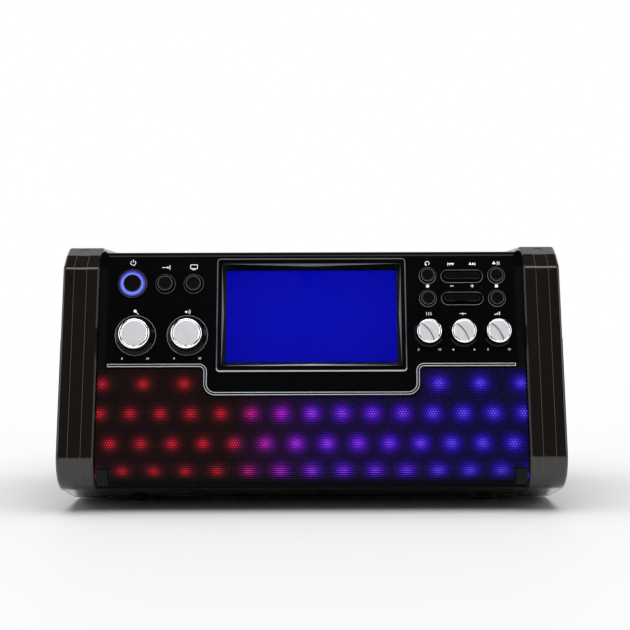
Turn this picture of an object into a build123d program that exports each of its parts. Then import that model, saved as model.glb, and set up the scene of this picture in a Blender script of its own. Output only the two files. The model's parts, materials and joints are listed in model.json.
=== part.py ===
"""A desktop karaoke machine: a sloping front between two gloss end caps.

The front holds a small display, five chrome knobs, push buttons and a lit perforated
grille with two speakers behind it.  The top has a slot that props up a tablet, and a
hinged lid over a top-loading disc well with its spindle and laser sled.

Millimetres.  +X is to the right seen from the front, +Y points to the back and +Z up.
The origin is the middle of the rectangle that the machine stands in, at table height.
"""
from build123d import *
from math import acos, cos, pi, radians, sin, sqrt, tan
import os

os.makedirs("parts", exist_ok=True)

# ---------------------------------------------------------------- overall sizes
WIDTH = 324.0
DEPTH = 212.0
CAP_HEIGHT = 168.3      # height of the end caps, without the feet
FOOT_HEIGHT = 3.0
FACE_TILT = 13.0        # the front leans back by this many degrees
UNDERSIDE_SLOPE = 13.6  # the front of the underside rises by this many degrees
UNDERSIDE_RUN = 61.5    # distance from the front at which the base becomes flat

# ---------------------------------------------------------------- end caps
CAP_WIDTH = 23.6
CAP_WALL = 2.5
KNEE_RADIUS = 22.0
BROW_RUN = (9.8, 7.9)      # the two facets above the front, each as (back, up)
BROW_RUN_2 = (11.0, 5.5)
BROW_RADIUS = 6.0
BROW_RADIUS_2 = 2.0
CAP_REAR_RADIUS = 18.0
CAP_HEEL_RADIUS = 8.0
CAP_BELLY_RADIUS = 20.0
INNER_EDGE_CHAMFER = 1.0
INLAY_WIDTH = 8.5
INLAY_SETBACK = 11.45      # from the cap's outer side to the middle of the strip
INLAY_DEPTH = 1.2

# ---------------------------------------------------------------- body between the caps
FACE_RECESS = 4.0          # the grille lies this far behind the caps' front
FASCIA_RECESS = 3.0        # the control panel stands a little in front of the grille
DECK_DROP = 3.9            # the top deck lies this far below the caps' top
REAR_INSET = 3.0
BASE_INSET = 0.6
SHELL = 2.5
SEAM = 0.2                 # gap between neighbouring mouldings
END_CLEARANCE = 0.3        # between the body's mouldings and the caps
BODY_REAR_RADIUS = 15.0
BODY_HEEL_RADIUS = 6.0
LIP_START = 17.0           # the grille reaches this far under the front
TUB_HEIGHT = 22.0
DECK_SKIRT = 20.0          # how far the deck's rounded rear edge reaches down
SIDE_PLATE = 2.5
PLUG_CLEARANCE = 0.15      # between a side plate and the cap's rim round it

# ---------------------------------------------------------------- control panel
FASCIA_HALF = 132.6
FASCIA_THICKNESS = 2.6
FASCIA_TOP_RADIUS = 4.0
FASCIA_LIP = 6.0           # the panel's top edge runs back by this much
WING_HEIGHT = 76.65        # from the panel's top edge to the lower edge of its wings
STEM_HEIGHT = 95.2         # ... and to the lower edge of its middle
STEM_HALF = 69.5
STEM_RADIUS = 7.7
STEM_INNER_RADIUS = 3.0
BEAD_WIDTH = 2.2
BEAD_HEIGHT = 1.0
BEAD_RADIUS = 0.7          # of its long edges
GRILLE_THICKNESS = 0.8

# ---------------------------------------------------------------- display
BEZEL = (123.2, 75.4)
BEZEL_OPENING = (116.4, 67.9)
BEZEL_SLOPE = 2.8          # the opening narrows by this much on each side
BEZEL_RADIUS = 2.3
BEZEL_RAISE = 1.2
SCREEN_DROP = 42.2         # from the panel's top edge to the middle of the screen
WINDOW_THICKNESS = 1.5
DISPLAY_THICKNESS = 4.0

# ---------------------------------------------------------------- knobs and buttons
SHAFT_RADIUS = 3.0
SHAFT_FIT = 0.05
BUTTON_TRAVEL = 1.2
BUTTON_FIT = 0.25
FLANGE = 1.0
SWITCH_FREE = 0.1          # free play between a button's stem and its switch
SKIRT_BEVEL = 0.9
CAP_PEG_LENGTH = 3.0
SHAFT_END_GAP = 0.3
BUSHING_SETBACK = 1.0

# ---------------------------------------------------------------- end caps and inlays
CAP_EDGE_RADIUS = 2.0
CAP_RIBS = (-62.0, 0.0, 62.0)       # Y of the stiffening ribs inside each cap
RIB = 1.6
CAP_BOSSES = ((-72.0, 45.0), (-40.0, 148.0), (80.0, 142.0), (82.0, 22.0))   # (Y, Z)
BOSS_RADIUS = 4.0
PILOT_RADIUS = 1.2
INLAY_LOW = 18.0                    # the strip's lower end, above the cap's base
INLAY_END_DROP = 1.0                # its upper end, below the cap's top
INLAY_FIT = 0.1
INLAY_SINK = 0.2                    # the strip lies this far below the cap's surface

# ---------------------------------------------------------------- base tub
TUB_FLOOR = 3.0
END_RIB = 2.0                       # rib in the corner between floor and side plate
END_RIB_HEIGHT = 9.0
BOARD_SIZE = (200.0, 90.0)          # main circuit board
BOARD_THICKNESS = 1.6
BOARD_PLACE = (0.0, 40.0)
BOARD_LEVEL = 16.0                  # underside of the main board
BOARD_SCREWS = [(x, y) for x in (-94.0, 94.0) for y in (-39.0, 39.0)]
FOOT_PLACES = [(x, y) for x in (-118.0, 118.0) for y in (-34.0, 88.0)]
FOOT_RADIUS = 8.0
FOOT_SCREW_RADIUS = 1.5
BASE_VENTS = 9
BASE_VENT_PITCH = 9.0
BASE_VENT = (3.0, 40.0)
FOOT_SINK = 2.0             # the screw head sits this deep in the rubber
FOOT_SINK_RADIUS = 3.6
CAPACITOR = (5.0, 16.0)      # radius and height
CAPACITOR_PLACES = ((-60.0, 20.0), (-44.0, 20.0), (50.0, 20.0))    # from the board's middle
HEAT_SINK = ((-20.0, 20.0), (-10.0, 18.0), 14.0)                   # X and Y limits, height
CHIPS = ((-30.0, -26.0, 8.0), (14.0, -28.0, 6.0), (60.0, -20.0, 10.0))    # place, half width
CHIP_HEIGHT = 1.6

# ---------------------------------------------------------------- top deck
SLOT_HALF = 120.0          # the slot that holds a tablet's lower edge
SLOT_SETBACK = 9.0         # from the panel's top edge to the slot
SLOT_OPENING = 14.5
SLOT_DEPTH = 13.0
SLOT_LEAN = 20.0           # its rear wall leans back by this many degrees
SLOT_WALL = 2.0
LID_GAP_FRONT = 4.0        # from the slot's rear edge to the lid
LID_HALF = 72.0
LID_LENGTH = 134.0
LID_THICKNESS = 2.2
LID_RADIUS = 6.0
LID_GAP = 0.4
LEDGE = 4.0                # the ledge that the lid's edge rests on
LEDGE_DROP = 2.4
LEDGE_THICKNESS = 2.0
BARREL_RADIUS = 3.0        # hinge barrel along the lid's rear edge
LID_BARREL_HALF = 66.0
PIN_RADIUS = 1.0
PIN_FIT = 0.05
EAR_GAP = 0.3
TRAY_DROP = 7.5            # the disc tray's upper face, below the deck
DECK_LIP_SEAM = 0.3
NOTCH_RADIUS = 9.0         # finger notch beside the lid
NOTCH_DEPTH = 5.0
NOTCH_SETBACK = 30.0
EAR_START = LID_BARREL_HALF + EAR_GAP
OPENING_HALF = LID_HALF + LID_GAP
LID_EDGE_RADIUS = 0.6
SKIRT_CLEARANCE = 2.0        # between the lid's skirt and the disc tray
SKIRT_GAP = 0.5              # between the skirt and the ledge round the opening
PIN_REACH = 8.0              # how far each pin reaches into the lid's barrel
PAD_THICKNESS = 3.0

# ---------------------------------------------------------------- rear cover and sockets
JACK_LEVEL = 34.0          # height of the row of sockets at the back
MIC_JACK_X = (-84.0, -62.0)
MIC_BORE = 3.25            # takes a 6.35 mm plug
MIC_NUT = 6.0
MIC_LENGTH = 20.0
RCA_X = (-30.0, -16.0, -2.0)
RCA_RADIUS = 4.15
RCA_LENGTH = 8.5
RCA_HOLE = 1.6
RCA_RECESS = 7.0           # the line sockets stand in a recess, so that nothing juts out
RCA_ROOM = 7.5             # from the outer sockets' axes to the recess's end walls
USB_X = 26.0
USB_OPENING = (12.5, 5.1)
USB_LENGTH = 14.0
DC_X = 62.0
DC_BORE = 2.9
DC_PIN = 1.0
DC_BODY = (9.0, 11.0)
SOCKET_GAP = 0.3
REAR_VENTS = 15
REAR_VENT_PITCH = 12.0
REAR_VENT = (4.0, 42.0)
REAR_VENT_LEVEL = 92.0
MIC_BODY_HALF = 7.5
MIC_NECK = 4.8              # radius of the threaded neck under the nut
MIC_NECK_RISE = 2.0
MIC_NUT_SPAN = (0.1, 1.9)    # the nut's two faces, from the back of the cover
MIC_END_WALL = 2.0
RCA_BLOCK_HALF = 7.0
RCA_BLOCK_DEPTH = 10.0
RCA_BORE_DEPTH = 2.0
SOCKET_RISE = 0.2            # a socket stands this far out of the cover
USB_WALL = 0.5
USB_TONGUE = (0.4, 2.1)      # levels of the tongue's two sides, above the socket's middle
USB_TONGUE_HALF = 5.5
USB_TONGUE_SETBACK = 2.0
DC_LENGTH = 14.0
DC_DEPTH = 10.0
DC_PIN_SETBACK = 1.0

# ---------------------------------------------------------------- front frame
PANEL_SEAT = 2.8           # depth of the frame's upper plate behind the panel's front
FRAME_PLATE = 2.5
CHAMBER_DEPTH = 14.0       # depth of the light chamber's floor
CHAMBER_WALL = 2.5
PANEL_GAP = 0.3
FRAME_LOW = -40.0          # the frame runs down the face until the underside ends it
GRILLE_GAP = 0.2
FRAME_TOP_GAP = 1.2        # room under the panel's lip and the deck
DISPLAY_ROOM = (118.0, 68.0)
SPEAKER_X = 100.0
SPEAKER_UP = 20.0
SPEAKER_HOLE = 29.0
TOP_LUG = (132.9, 138.1)       # X limits of the lugs at the upper corners
TOP_LUG_HEIGHT = 11.0
TOP_LUG_DEPTH = 5.6
LOW_LUG = (129.8, 137.1)
LOW_LUG_DEPTH = 4.0
LOW_LUG_REACH = 10.0       # how far the lower lugs reach back from the front
# Across, and down from the panel's top edge.
BIG_KNOBS = {"mic_volume": (-114.0, 55.8), "master_volume": (-80.4, 55.8)}
SMALL_KNOBS = {"echo": (75.9, 54.4), "balance": (98.3, 54.4), "avc": (120.7, 54.4)}
POWER_PLACE = (-116.7, 21.2)
LEFT_BUTTONS = {"function_button": (-95.2, 21.4), "screen_button": (-76.8, 21.4)}
RIGHT_BUTTONS = {
    "program_button": (75.9, 16.2), "play_button": (120.8, 16.2),
    "record_button": (75.9, 31.6), "stop_button": (120.8, 31.6),
}
KEY_PAIRS = {
    ("skip_back_key", "skip_forward_key"): (98.3, 16.7),
    ("key_down_key", "key_up_key"): (98.3, 31.6),
}
LEFT_BUTTON_RADIUS = 4.3
RIGHT_BUTTON_RADIUS = 3.8
POWER_BUTTON_RADIUS = 5.7
KEY_SIZE = (23.5, 4.7)
KEY_SPLIT = 0.6
LEFT_RING = 6.5
RIGHT_RING = 5.6
KEY_RING = (27.0, 7.8)
RING_HEIGHT = 0.5
RING_WALL = 0.9
POWER_BEZEL = (9.4, 8.6)
POWER_BEZEL_HEIGHT = 1.2
LIGHT_RING = (8.45, 6.0)
LIGHT_RING_HEIGHT = 2.5
BUSHING_RADIUS = 3.8
BUSHING_GAP = 0.2
FLANGE_OVERHANG = 1.2
CONTROL_BOARD_DEPTH = 13.0
CONTROL_BOARD_SPANS = ((-127.0, -65.0), (65.0, 128.0))
CONTROL_BOARD_DROPS = (14.3, 69.3)    # from the panel's top edge to the boards' two edges
BOARD_POST_X = (-96.0, 98.3)
BOARD_POST_DROPS = (68.3, 39.3)
LOW_LUG_RISE = (9.0, 25.3)   # the lower lugs' ends, above the caps' base
LOW_LUG_RAISE = 0.3
TOP_LUG_RISE = 1.5           # the upper lugs reach this far above the panel
TOP_LUG_SHOULDERS = (2.6, 1.8)
TOP_LUG_SETBACK = 1.2
FLANGE_ROOM = 0.3
DISPLAY_FIT = 1.0
DISPLAY_FLANGE = 4.0
DISPLAY_FLANGE_THICKNESS = 1.0
RING_CHAMFER = 0.2

# ---------------------------------------------------------------- knobs
KNOB_GAP = 0.3             # between a knob and the panel
SHAFT_DEPTH = 11.5         # the shaft's inner end, behind the panel's front
POT_RADIUS = 8.0
POT_SEAT = PANEL_SEAT + FRAME_PLATE
BIG_KNOB = {
    "skirt": 12.6, "skirt_height": 1.5, "foot": 11.0, "head": 10.4, "seat": 6.2,
    "cap": 10.1, "cap_height": 1.9, "dish": 8.1,
}
SMALL_KNOB = {
    "skirt": 9.7, "skirt_height": 1.3, "foot": 8.7, "head": 8.2, "seat": 5.0,
    "cap": 8.0, "cap_height": 1.6, "dish": 6.4,
}
CAP_PEG = 2.0
DISH_SINK = 0.5

# ---------------------------------------------------------------- buttons and their switches
BUTTON_OUT = {"left": 3.5, "right": 2.2, "key": 2.2, "power": 2.6}
STEM_RADIUS_BUTTON = 1.5
FLANGE_DEPTH = FASCIA_THICKNESS + 0.1     # the flange bears on the back of the panel
SWITCH_HEIGHT = 3.5
SWITCH_HALF = 3.0
PLUNGER = 0.8
BUTTON_CHAMFER = 0.4
BUTTON_EDGE = 0.5
FLANGE_GAP = 0.1           # between the power button's flange and the light ring
POWER_FLANGE = 0.8
RING_FOOT = 0.9            # how far the light ring's foot reaches under the panel
RING_BEVEL = 0.9
PLUNGER_RADIUS = 1.75

# ---------------------------------------------------------------- lights and speakers
LED_BAR_HEIGHT = 8.0
LED_BAR_THICKNESS = 1.2
LED_BAR_END = 137.9
LED_SIZE = 4.0
LED_THICKNESS = 1.6
SHORT_ROW_DROP = 87.3
SHORT_ROW_X = (82.0, 108.4, 134.8)      # the top row lies only beside the panel's middle
LONG_ROWS = ((15, 19.4), (14, 19.8), (13, 20.1))      # count and pitch of the rows below it
LOW_ROW_BELOW_KNEE = 13.9    # the lowest row, below the line where the panel starts to bend
LED_FLOOR_GAP = 0.1
SPEAKER_FLANGE = 33.0
SPEAKER_FLANGE_THICKNESS = 2.0
SPEAKER_DEPTH = 28.0
MAGNET = (17.0, 10.0)
CONE_RADIUS = 27.0
CONE_THICKNESS = 0.8
CONE_DEPTH = 9.0
DUST_CAP = 8.0
CONE_EDGE_GAP = 0.5          # between the cone's rim and the basket round it
MAGNET_STEP = 2.0
CONE_RIM = 0.4               # the paper reaches this far past the roll
ROLL_WIDTH = 4.0             # of the half-round roll that joins the cone to its rim
ROLL_LEVELS = (-1.0, 0.6, -0.4)      # its inner foot, crest and outer foot
DUST_CAP_RISE = (2.5, 1.3)   # of its middle, and of a ring on it
DUST_CAP_SHARE = 0.7         # that ring's share of its radius

# ---------------------------------------------------------------- disc well and mechanism
BOWL_RADIUS = 62.0
BOWL_DROP = 17.4           # from the deck to the floor of the well
TRAY_WALL = 2.0
TRAY_PLATE = 2.5
TRAY_BEHIND = 6.0          # the tray's plate goes this far behind the lid's hinge line
FLOOR_THICKNESS_AT_BOSS = 3.0
DISC_LIFT = 4.5            # the disc rides this far above the floor
HUB_OPENING = 16.0
LENS_SLOT = 34.0
LENS_SLOT_END = 60.5
LENS_SLOT_RADIUS = 3.0
SCOOP_RADIUS = 8.0
TURNTABLE = (14.5, 2.0)
HUB_BOSS = (7.4, 2.5)
HUB_STEM = 3.5
HUB_STEM_RISE = 3.0        # the shaft thickens this far above the chassis
HUB_BEVEL = 0.7
HUB_DIMPLE = (2.0, 1.0)    # radius and depth
SHAFT_BOTTOM_GAP = 1.0     # between a shaft's end and the bottom of its motor's bore
MOTOR_FLOOR = 3.0
MOTOR_BEVEL = 1.0
SPINDLE_RADIUS = 1.0
RUN_FIT = 0.05
SPINDLE_MOTOR = (12.0, 12.0)
CHASSIS_HALF = 44.0
CHASSIS_THICKNESS = 2.0
CHASSIS_DROP = 12.0        # from the well's underside to the chassis's upper face
CHASSIS_REACH = (-77.0, 26.0)       # Y limits, measured from the spindle
CHASSIS_WINDOW = (10.0, 12.0, 20.0)  # half width, behind the front edge, ahead of the spindle
GROMMETS = [(x, y) for x in (-38.0, 38.0) for y in (-60.0, 18.0)]
GROMMET = (6.0, 4.5)
GROMMET_FLANGE = 1.2
GROMMET_SLACK = 0.3        # around the screw's hole
ROD_RADIUS = 1.5
ROD_X = 15.0
ROD_LIFT = 5.3             # the rods' axes above the chassis
ROD_POSTS = (-74.5, -7.5)  # Y of the posts, measured from the spindle
POST = (7.0, 4.0, 9.0)
SLED = (38.0, 28.0, 7.4)
SLED_LIFT = 1.6
LENS_START = 24.0          # distance from spindle to lens at the inner end of its travel
SLED_TRAVEL = 31.0
LENS = (4.5, 3.0)
LENS_RISE = (5.0, 6.5)
# The sled's gear train: a rack on the sled, a stepped gear on a pin and the motor's pinion.
RACK_X = 25.8              # the rack's pitch line
RACK_MODULE = 0.7
RACK_HEIGHT = 3.0
RACK_BACK = 3.2
RACK_TEETH = 18
PINION_TEETH = 12
WHEEL_MODULE = 0.5
WHEEL_TEETH = 32
WHEEL_THICKNESS = 2.0
MOTOR_TEETH = 10
GEAR_PIN = 1.0
ADDENDUM = 0.8             # in modules
DEDENDUM = 1.05
BACKLASH = 0.14            # share of the pitch
SLED_MOTOR = (8.0, 12.0)
MOTOR_SHAFT = 0.75
GEAR_GAP = 0.5             # between the gears' faces
GEAR_PIN_RISE = 0.8
PRESSURE_ANGLE = radians(20)

# ---------------------------------------------------------------- screws
SCREW_HEAD = (2.8, 1.5)
SCREW_SHANK = (1.2, 8.0)

# ---------------------------------------------------------------- general
PAST = 20.0                # how far a cutting shape runs past what it cuts
BITE = 1.0                 # how far joined shapes reach into each other
SEAT_GAP = 0.05            # between pieces that rest against each other
DRAFT_GAP = 0.2            # a loose gap inside the housing
EDGE_CHAMFER = 0.8
PILOT_SHARE = 0.7          # a screw's hole goes this far into its boss
SMALLEST_RADIUS = 0.4      # a corner keeps at least this radius when its outline shrinks

# ---------------------------------------------------------------- datum lines
FRONT = -DEPTH / 2
REAR = DEPTH / 2
CAP_BASE = FOOT_HEIGHT
CAP_TOP = FOOT_HEIGHT + CAP_HEIGHT
DECK_TOP = CAP_TOP - DECK_DROP
CAP_INNER = WIDTH / 2 - CAP_WIDTH
BODY_HALF = CAP_INNER - END_CLEARANCE
TILT = radians(FACE_TILT)
SLOPE = radians(UNDERSIDE_SLOPE)

# The knee is an arc that touches both the sloping front and the rising underside.
BASE_START = FRONT + UNDERSIDE_RUN
KNEE_Y = FRONT + KNEE_RADIUS
KNEE_Z = CAP_BASE + (KNEE_RADIUS + (BASE_START - KNEE_Y) * sin(SLOPE)) / cos(SLOPE)
KNEE_SHARE = KNEE_RADIUS / (1 + sin(SLOPE - TILT))
KNEE_CORNER = (
    KNEE_Y - KNEE_SHARE * (cos(TILT) + sin(SLOPE)),
    KNEE_Z + KNEE_SHARE * (sin(TILT) - cos(SLOPE)),
)


def front_at(height):
    """The point of the caps' front line at a height."""
    touch_y = KNEE_Y - KNEE_RADIUS * cos(TILT)
    touch_z = KNEE_Z + KNEE_RADIUS * sin(TILT)
    return (touch_y + (height - touch_z) * tan(TILT), height)


BROW = front_at(CAP_TOP - BROW_RUN[1] - BROW_RUN_2[1])
BROW_2 = (BROW[0] + BROW_RUN[0], BROW[1] + BROW_RUN[1])
BROW_3 = (BROW_2[0] + BROW_RUN_2[0], CAP_TOP)

# Corners run from the knee up the front, back along the top and home along the base.
CAP_CORNERS = [
    KNEE_CORNER, BROW, BROW_2, BROW_3, (REAR, CAP_TOP), (REAR, CAP_BASE), (BASE_START, CAP_BASE),
]
CAP_RADII = [
    KNEE_RADIUS, BROW_RADIUS, BROW_RADIUS_2, BROW_RADIUS,
    CAP_REAR_RADIUS, CAP_HEEL_RADIUS, CAP_BELLY_RADIUS,
]
BODY_CORNERS = [
    KNEE_CORNER, front_at(CAP_TOP), (REAR, CAP_TOP), (REAR, CAP_BASE), (BASE_START, CAP_BASE),
]
BODY_GAPS = [FACE_RECESS, DECK_DROP, REAR_INSET, BASE_INSET, BASE_INSET]
FASCIA_GAPS = [FASCIA_RECESS] + BODY_GAPS[1:]
BODY_RADII = [
    KNEE_RADIUS - FACE_RECESS, FASCIA_TOP_RADIUS, BODY_REAR_RADIUS, BODY_HEEL_RADIUS, CAP_BELLY_RADIUS,
]


# ---------------------------------------------------------------- shared geometry
def moved_in(corners, gaps):
    """Moves each edge of a clockwise outline inwards by its own gap."""
    moved = []
    for index, (y, z) in enumerate(corners):
        normals = []
        for start in (index - 1, index):
            (y1, z1), (y2, z2) = corners[start], corners[(start + 1) % len(corners)]
            length = sqrt((y2 - y1) ** 2 + (z2 - z1) ** 2)
            normals.append(((z2 - z1) / length, (y1 - y2) / length))
        (ay, az), (by, bz) = normals
        gap_a, gap_b = gaps[index - 1], gaps[index]
        turn = ay * bz - az * by
        moved.append((y + (gap_a * bz - gap_b * az) / turn, z + (gap_b * ay - gap_a * by) / turn))
    return moved


def profile(corners, radii):
    """A closed outline in the Y-Z plane, with rounded corners, as a face."""
    return make_face(FilletPolyline(*corners, radius=radii, close=True))


def along_x(face, start, end):
    """Extrudes a face of the Y-Z plane from one X to another."""
    return extrude(Plane.YZ.offset(start) * face, end - start)


def span(x, y, z):
    """A block between two limits on each axis."""
    centre = [(low + high) / 2 for low, high in (x, y, z)]
    return Pos(*centre) * Box(x[1] - x[0], y[1] - y[0], z[1] - z[0])


def cap_profile(inset):
    """The end caps' outline, moved in all round."""
    gaps = [inset] * len(CAP_CORNERS)
    return profile(moved_in(CAP_CORNERS, gaps), [max(r - inset, SMALLEST_RADIUS) for r in CAP_RADII])


def body_profile(inset, gaps=BODY_GAPS):
    """The outline of the body between the caps, moved in all round."""
    deeper = [gap + inset for gap in gaps]
    return profile(moved_in(BODY_CORNERS, deeper), [max(r - inset, SMALLEST_RADIUS) for r in BODY_RADII])


def body_shell(inset, thickness, half, gaps=BODY_GAPS):
    """A sleeve that follows the body's outline from one end to the other."""
    return along_x(body_profile(inset, gaps) - body_profile(inset + thickness, gaps), -half, half)


# The face plane: x to the right, y up the slope, z outwards.  Its origin lies where the
# knee's arc runs into the front, on the surface of the control panel.
FACE_RADIUS = KNEE_RADIUS - FASCIA_RECESS
FACE = Plane(
    origin=(0, KNEE_Y - FACE_RADIUS * cos(TILT), KNEE_Z + FACE_RADIUS * sin(TILT)),
    x_dir=(1, 0, 0),
    z_dir=(0, -cos(TILT), sin(TILT)),
)
FASCIA_TOP = (DECK_TOP - FACE.origin.Z) / cos(TILT)
WING_EDGE = FASCIA_TOP - WING_HEIGHT
STEM_EDGE = FASCIA_TOP - STEM_HEIGHT


def on_face(x, up, out=0.0):
    """A place on the face: across, up the slope and outwards from the panel."""
    return FACE * Pos(x, up, out)


def plate(sketch, near, far):
    """A sketch of the face plane as a solid between two depths behind the panel's front."""
    return FACE * Pos(0, 0, -far) * extrude(sketch, far - near)


def turned(outline, *loops):
    """Revolves a half section, given as (radius, height) points, about the Z axis."""
    wires = Polyline(*[(radius, 0, height) for radius, height in outline], close=True)
    return revolve(make_face(wires), Axis.Z)


def t_shape(grow, top):
    """The control panel's outline, a wide bar with a lower middle, grown all round."""
    wing, stem, half = WING_EDGE - grow, STEM_EDGE - grow, STEM_HALF + grow
    end = FASCIA_HALF + grow
    corners = [
        (-end, top), (-end, wing), (-half, wing), (-half, stem),
        (half, stem), (half, wing), (end, wing), (end, top),
    ]
    inner, outer = max(STEM_INNER_RADIUS - grow, 0.5), STEM_RADIUS + grow
    return make_face(FilletPolyline(
        *corners, radius=[0, 1, inner, outer, outer, inner, 1, 0], close=True,
    ))


nodes = {}


def keep(name, *solids):
    """Writes one sub-part, as one solid or a group of separate solids."""
    nodes[name] = Compound(label=name, children=[s for part in solids for s in part.solids()])
    export_step(nodes[name], f"parts/{name}.step")


# ================================================================ end caps and inlays
PLATE_OUTER = CAP_INNER + SIDE_PLATE


def inlay_band(width, top, bottom):
    """A band over the front of the right cap, round ended, between two depths."""
    low, high = CAP_BASE + INLAY_LOW, CAP_TOP - INLAY_END_DROP
    middle = WIDTH / 2 - INLAY_SETBACK
    end = (INLAY_WIDTH - width) / 2
    stadium = Plane.XZ * Pos(middle, (low + high) / 2) * Rot(0, 0, 90) * SlotOverall(
        high - low - 2 * end, width,
    )
    reach = extrude(stadium, DEPTH)
    band = along_x(cap_profile(top) - cap_profile(bottom), middle - width, middle + width)
    return band & reach & span((0, WIDTH), (FRONT, 0), (0, 2 * CAP_TOP))


def end_cap():
    """The right cap: a hollow moulding, open towards the body, with ribs and bosses."""
    outer = WIDTH / 2
    shell = along_x(cap_profile(0), CAP_INNER, outer)
    shell = fillet(shell.faces().sort_by(Axis.X)[-1].edges(), CAP_EDGE_RADIUS)
    shell = chamfer(shell.faces().sort_by(Axis.X)[0].edges(), INNER_EDGE_CHAMFER)
    shell -= along_x(cap_profile(CAP_WALL), CAP_INNER, outer - CAP_WALL)
    inside = along_x(cap_profile(CAP_WALL / 2), PLATE_OUTER + SEAM, outer - CAP_WALL / 2)
    for y in CAP_RIBS:
        shell += inside & span((0, outer), (y - RIB / 2, y + RIB / 2), (0, 2 * CAP_TOP))
    for y, z in CAP_BOSSES:
        depth = outer - CAP_WALL / 2 - PLATE_OUTER
        boss = Pos(PLATE_OUTER, y, z) * Rot(0, 90, 0)
        bottom = Align.MIN
        shell += boss * Cylinder(BOSS_RADIUS, depth, align=(Align.CENTER, Align.CENTER, bottom))
        shell -= boss * Cylinder(PILOT_RADIUS, PILOT_SHARE * depth, align=(Align.CENTER, Align.CENTER, bottom))
    return shell - inlay_band(INLAY_WIDTH, -1, INLAY_DEPTH)


right_cap = end_cap()
right_inlay = inlay_band(INLAY_WIDTH - 2 * INLAY_FIT, INLAY_SINK, INLAY_DEPTH)
keep("end_cap_right", right_cap)
keep("end_cap_left", mirror(right_cap, Plane.YZ))
keep("cap_inlays", right_inlay, mirror(right_inlay, Plane.YZ))


# ================================================================ base tub
tub_floor_level = CAP_BASE + BASE_INSET
tub_top = CAP_BASE + TUB_HEIGHT


def upright(radius, low, high, place=(0, 0)):
    """A round post along Z between two levels."""
    post = Cylinder(radius, high - low, align=(Align.CENTER, Align.CENTER, Align.MIN))
    return Pos(place[0], place[1], low) * post


def base_tub():
    """The floor with its rising front lip, low rear wall and the two side plates."""
    inner_end = CAP_INNER
    region = span((-WIDTH, WIDTH), (FRONT + LIP_START, DEPTH), (0, tub_top))
    tub = body_shell(0, TUB_FLOOR, inner_end) & region
    rib = body_shell(0, END_RIB_HEIGHT, inner_end) & region
    tub += rib - span((-inner_end + END_RIB, inner_end - END_RIB), (-DEPTH, DEPTH), (0, DEPTH))
    for side in (-1, 1):
        near, far = sorted((side * inner_end, side * PLATE_OUTER))
        side_plate = along_x(cap_profile(CAP_WALL + PLUG_CLEARANCE), near, far)
        for y, z in CAP_BOSSES:
            side_plate -= Pos(side * inner_end, y, z) * Rot(0, 90, 0) * Cylinder(FOOT_SCREW_RADIUS, PAST)
        tub += side_plate
    for x, y in BOARD_SCREWS:
        place = (BOARD_PLACE[0] + x, BOARD_PLACE[1] + y)
        tub += upright(BOSS_RADIUS, tub_floor_level + 1, BOARD_LEVEL, place)
        tub -= upright(PILOT_RADIUS, tub_floor_level + 4, BOARD_LEVEL, place)
    for place in FOOT_PLACES:
        tub -= upright(FOOT_SCREW_RADIUS, 0, tub_floor_level + 2 * TUB_FLOOR, place)
    first = -(BASE_VENTS - 1) / 2 * BASE_VENT_PITCH
    vent = Rot(0, 0, 90) * SlotOverall(BASE_VENT[1], BASE_VENT[0])
    for index in range(BASE_VENTS):
        x = first + index * BASE_VENT_PITCH
        tub -= Pos(x, BOARD_PLACE[1], 0) * extrude(vent, tub_floor_level + 2 * TUB_FLOOR)
    return tub


def feet():
    """Four rubber feet, each with a sunk hole for its screw."""
    foot = turned([
        (FOOT_SCREW_RADIUS, FOOT_SINK), (FOOT_SINK_RADIUS, FOOT_SINK), (FOOT_SINK_RADIUS, 0),
        (FOOT_RADIUS - EDGE_CHAMFER, 0), (FOOT_RADIUS, EDGE_CHAMFER),
        (FOOT_RADIUS, tub_floor_level), (FOOT_SCREW_RADIUS, tub_floor_level),
    ])
    return [Pos(x, y, 0) * foot for x, y in FOOT_PLACES]


keep("base_tub", base_tub())
keep("feet", *feet())


# ================================================================ top deck

panel_edge = moved_in(BODY_CORNERS, FASCIA_GAPS)[1][0]      # Y of the panel's top corner
LIP_END = panel_edge + FASCIA_LIP
SLOT_FRONT = panel_edge + SLOT_SETBACK
SLOT_REAR = SLOT_FRONT + SLOT_OPENING
SLOT_FLOOR = DECK_TOP - SLOT_DEPTH
LID_FRONT = SLOT_REAR + LID_GAP_FRONT
HINGE_Y = LID_FRONT + LID_LENGTH - BARREL_RADIUS
HINGE_Z = DECK_TOP - BARREL_RADIUS


def slot_section(wall):
    """The slot's cross-section, or its outside when a wall is given."""
    run = SLOT_DEPTH * tan(radians(SLOT_LEAN))
    return make_face(Polyline(
        (SLOT_FRONT - wall, DECK_TOP + 1 - wall), (SLOT_FRONT - wall, SLOT_FLOOR - wall),
        (SLOT_REAR - run + wall, SLOT_FLOOR - wall), (SLOT_REAR + wall, DECK_TOP - wall / 4),
        (SLOT_REAR + wall, DECK_TOP + 1 - wall), close=True,
    ))


def lid_outline(grow, front=0.0):
    """The lid's outline seen from above, up to the hinge's axis, grown on three sides."""
    near, far, half = LID_FRONT - grow + front, HINGE_Y, LID_HALF + grow
    corners = [(-half, near), (half, near), (half, far), (-half, far)]
    radius = max(LID_RADIUS + grow, 1)
    return make_face(FilletPolyline(*corners, radius=[radius, radius, 0, 0], close=True))


def rod_x(radius, start, end, y, z):
    """A round bar along X."""
    bar = Cylinder(radius, end - start, align=(Align.CENTER, Align.CENTER, Align.MIN))
    return Pos(start, y, z) * Rot(0, 90, 0) * bar


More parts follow.
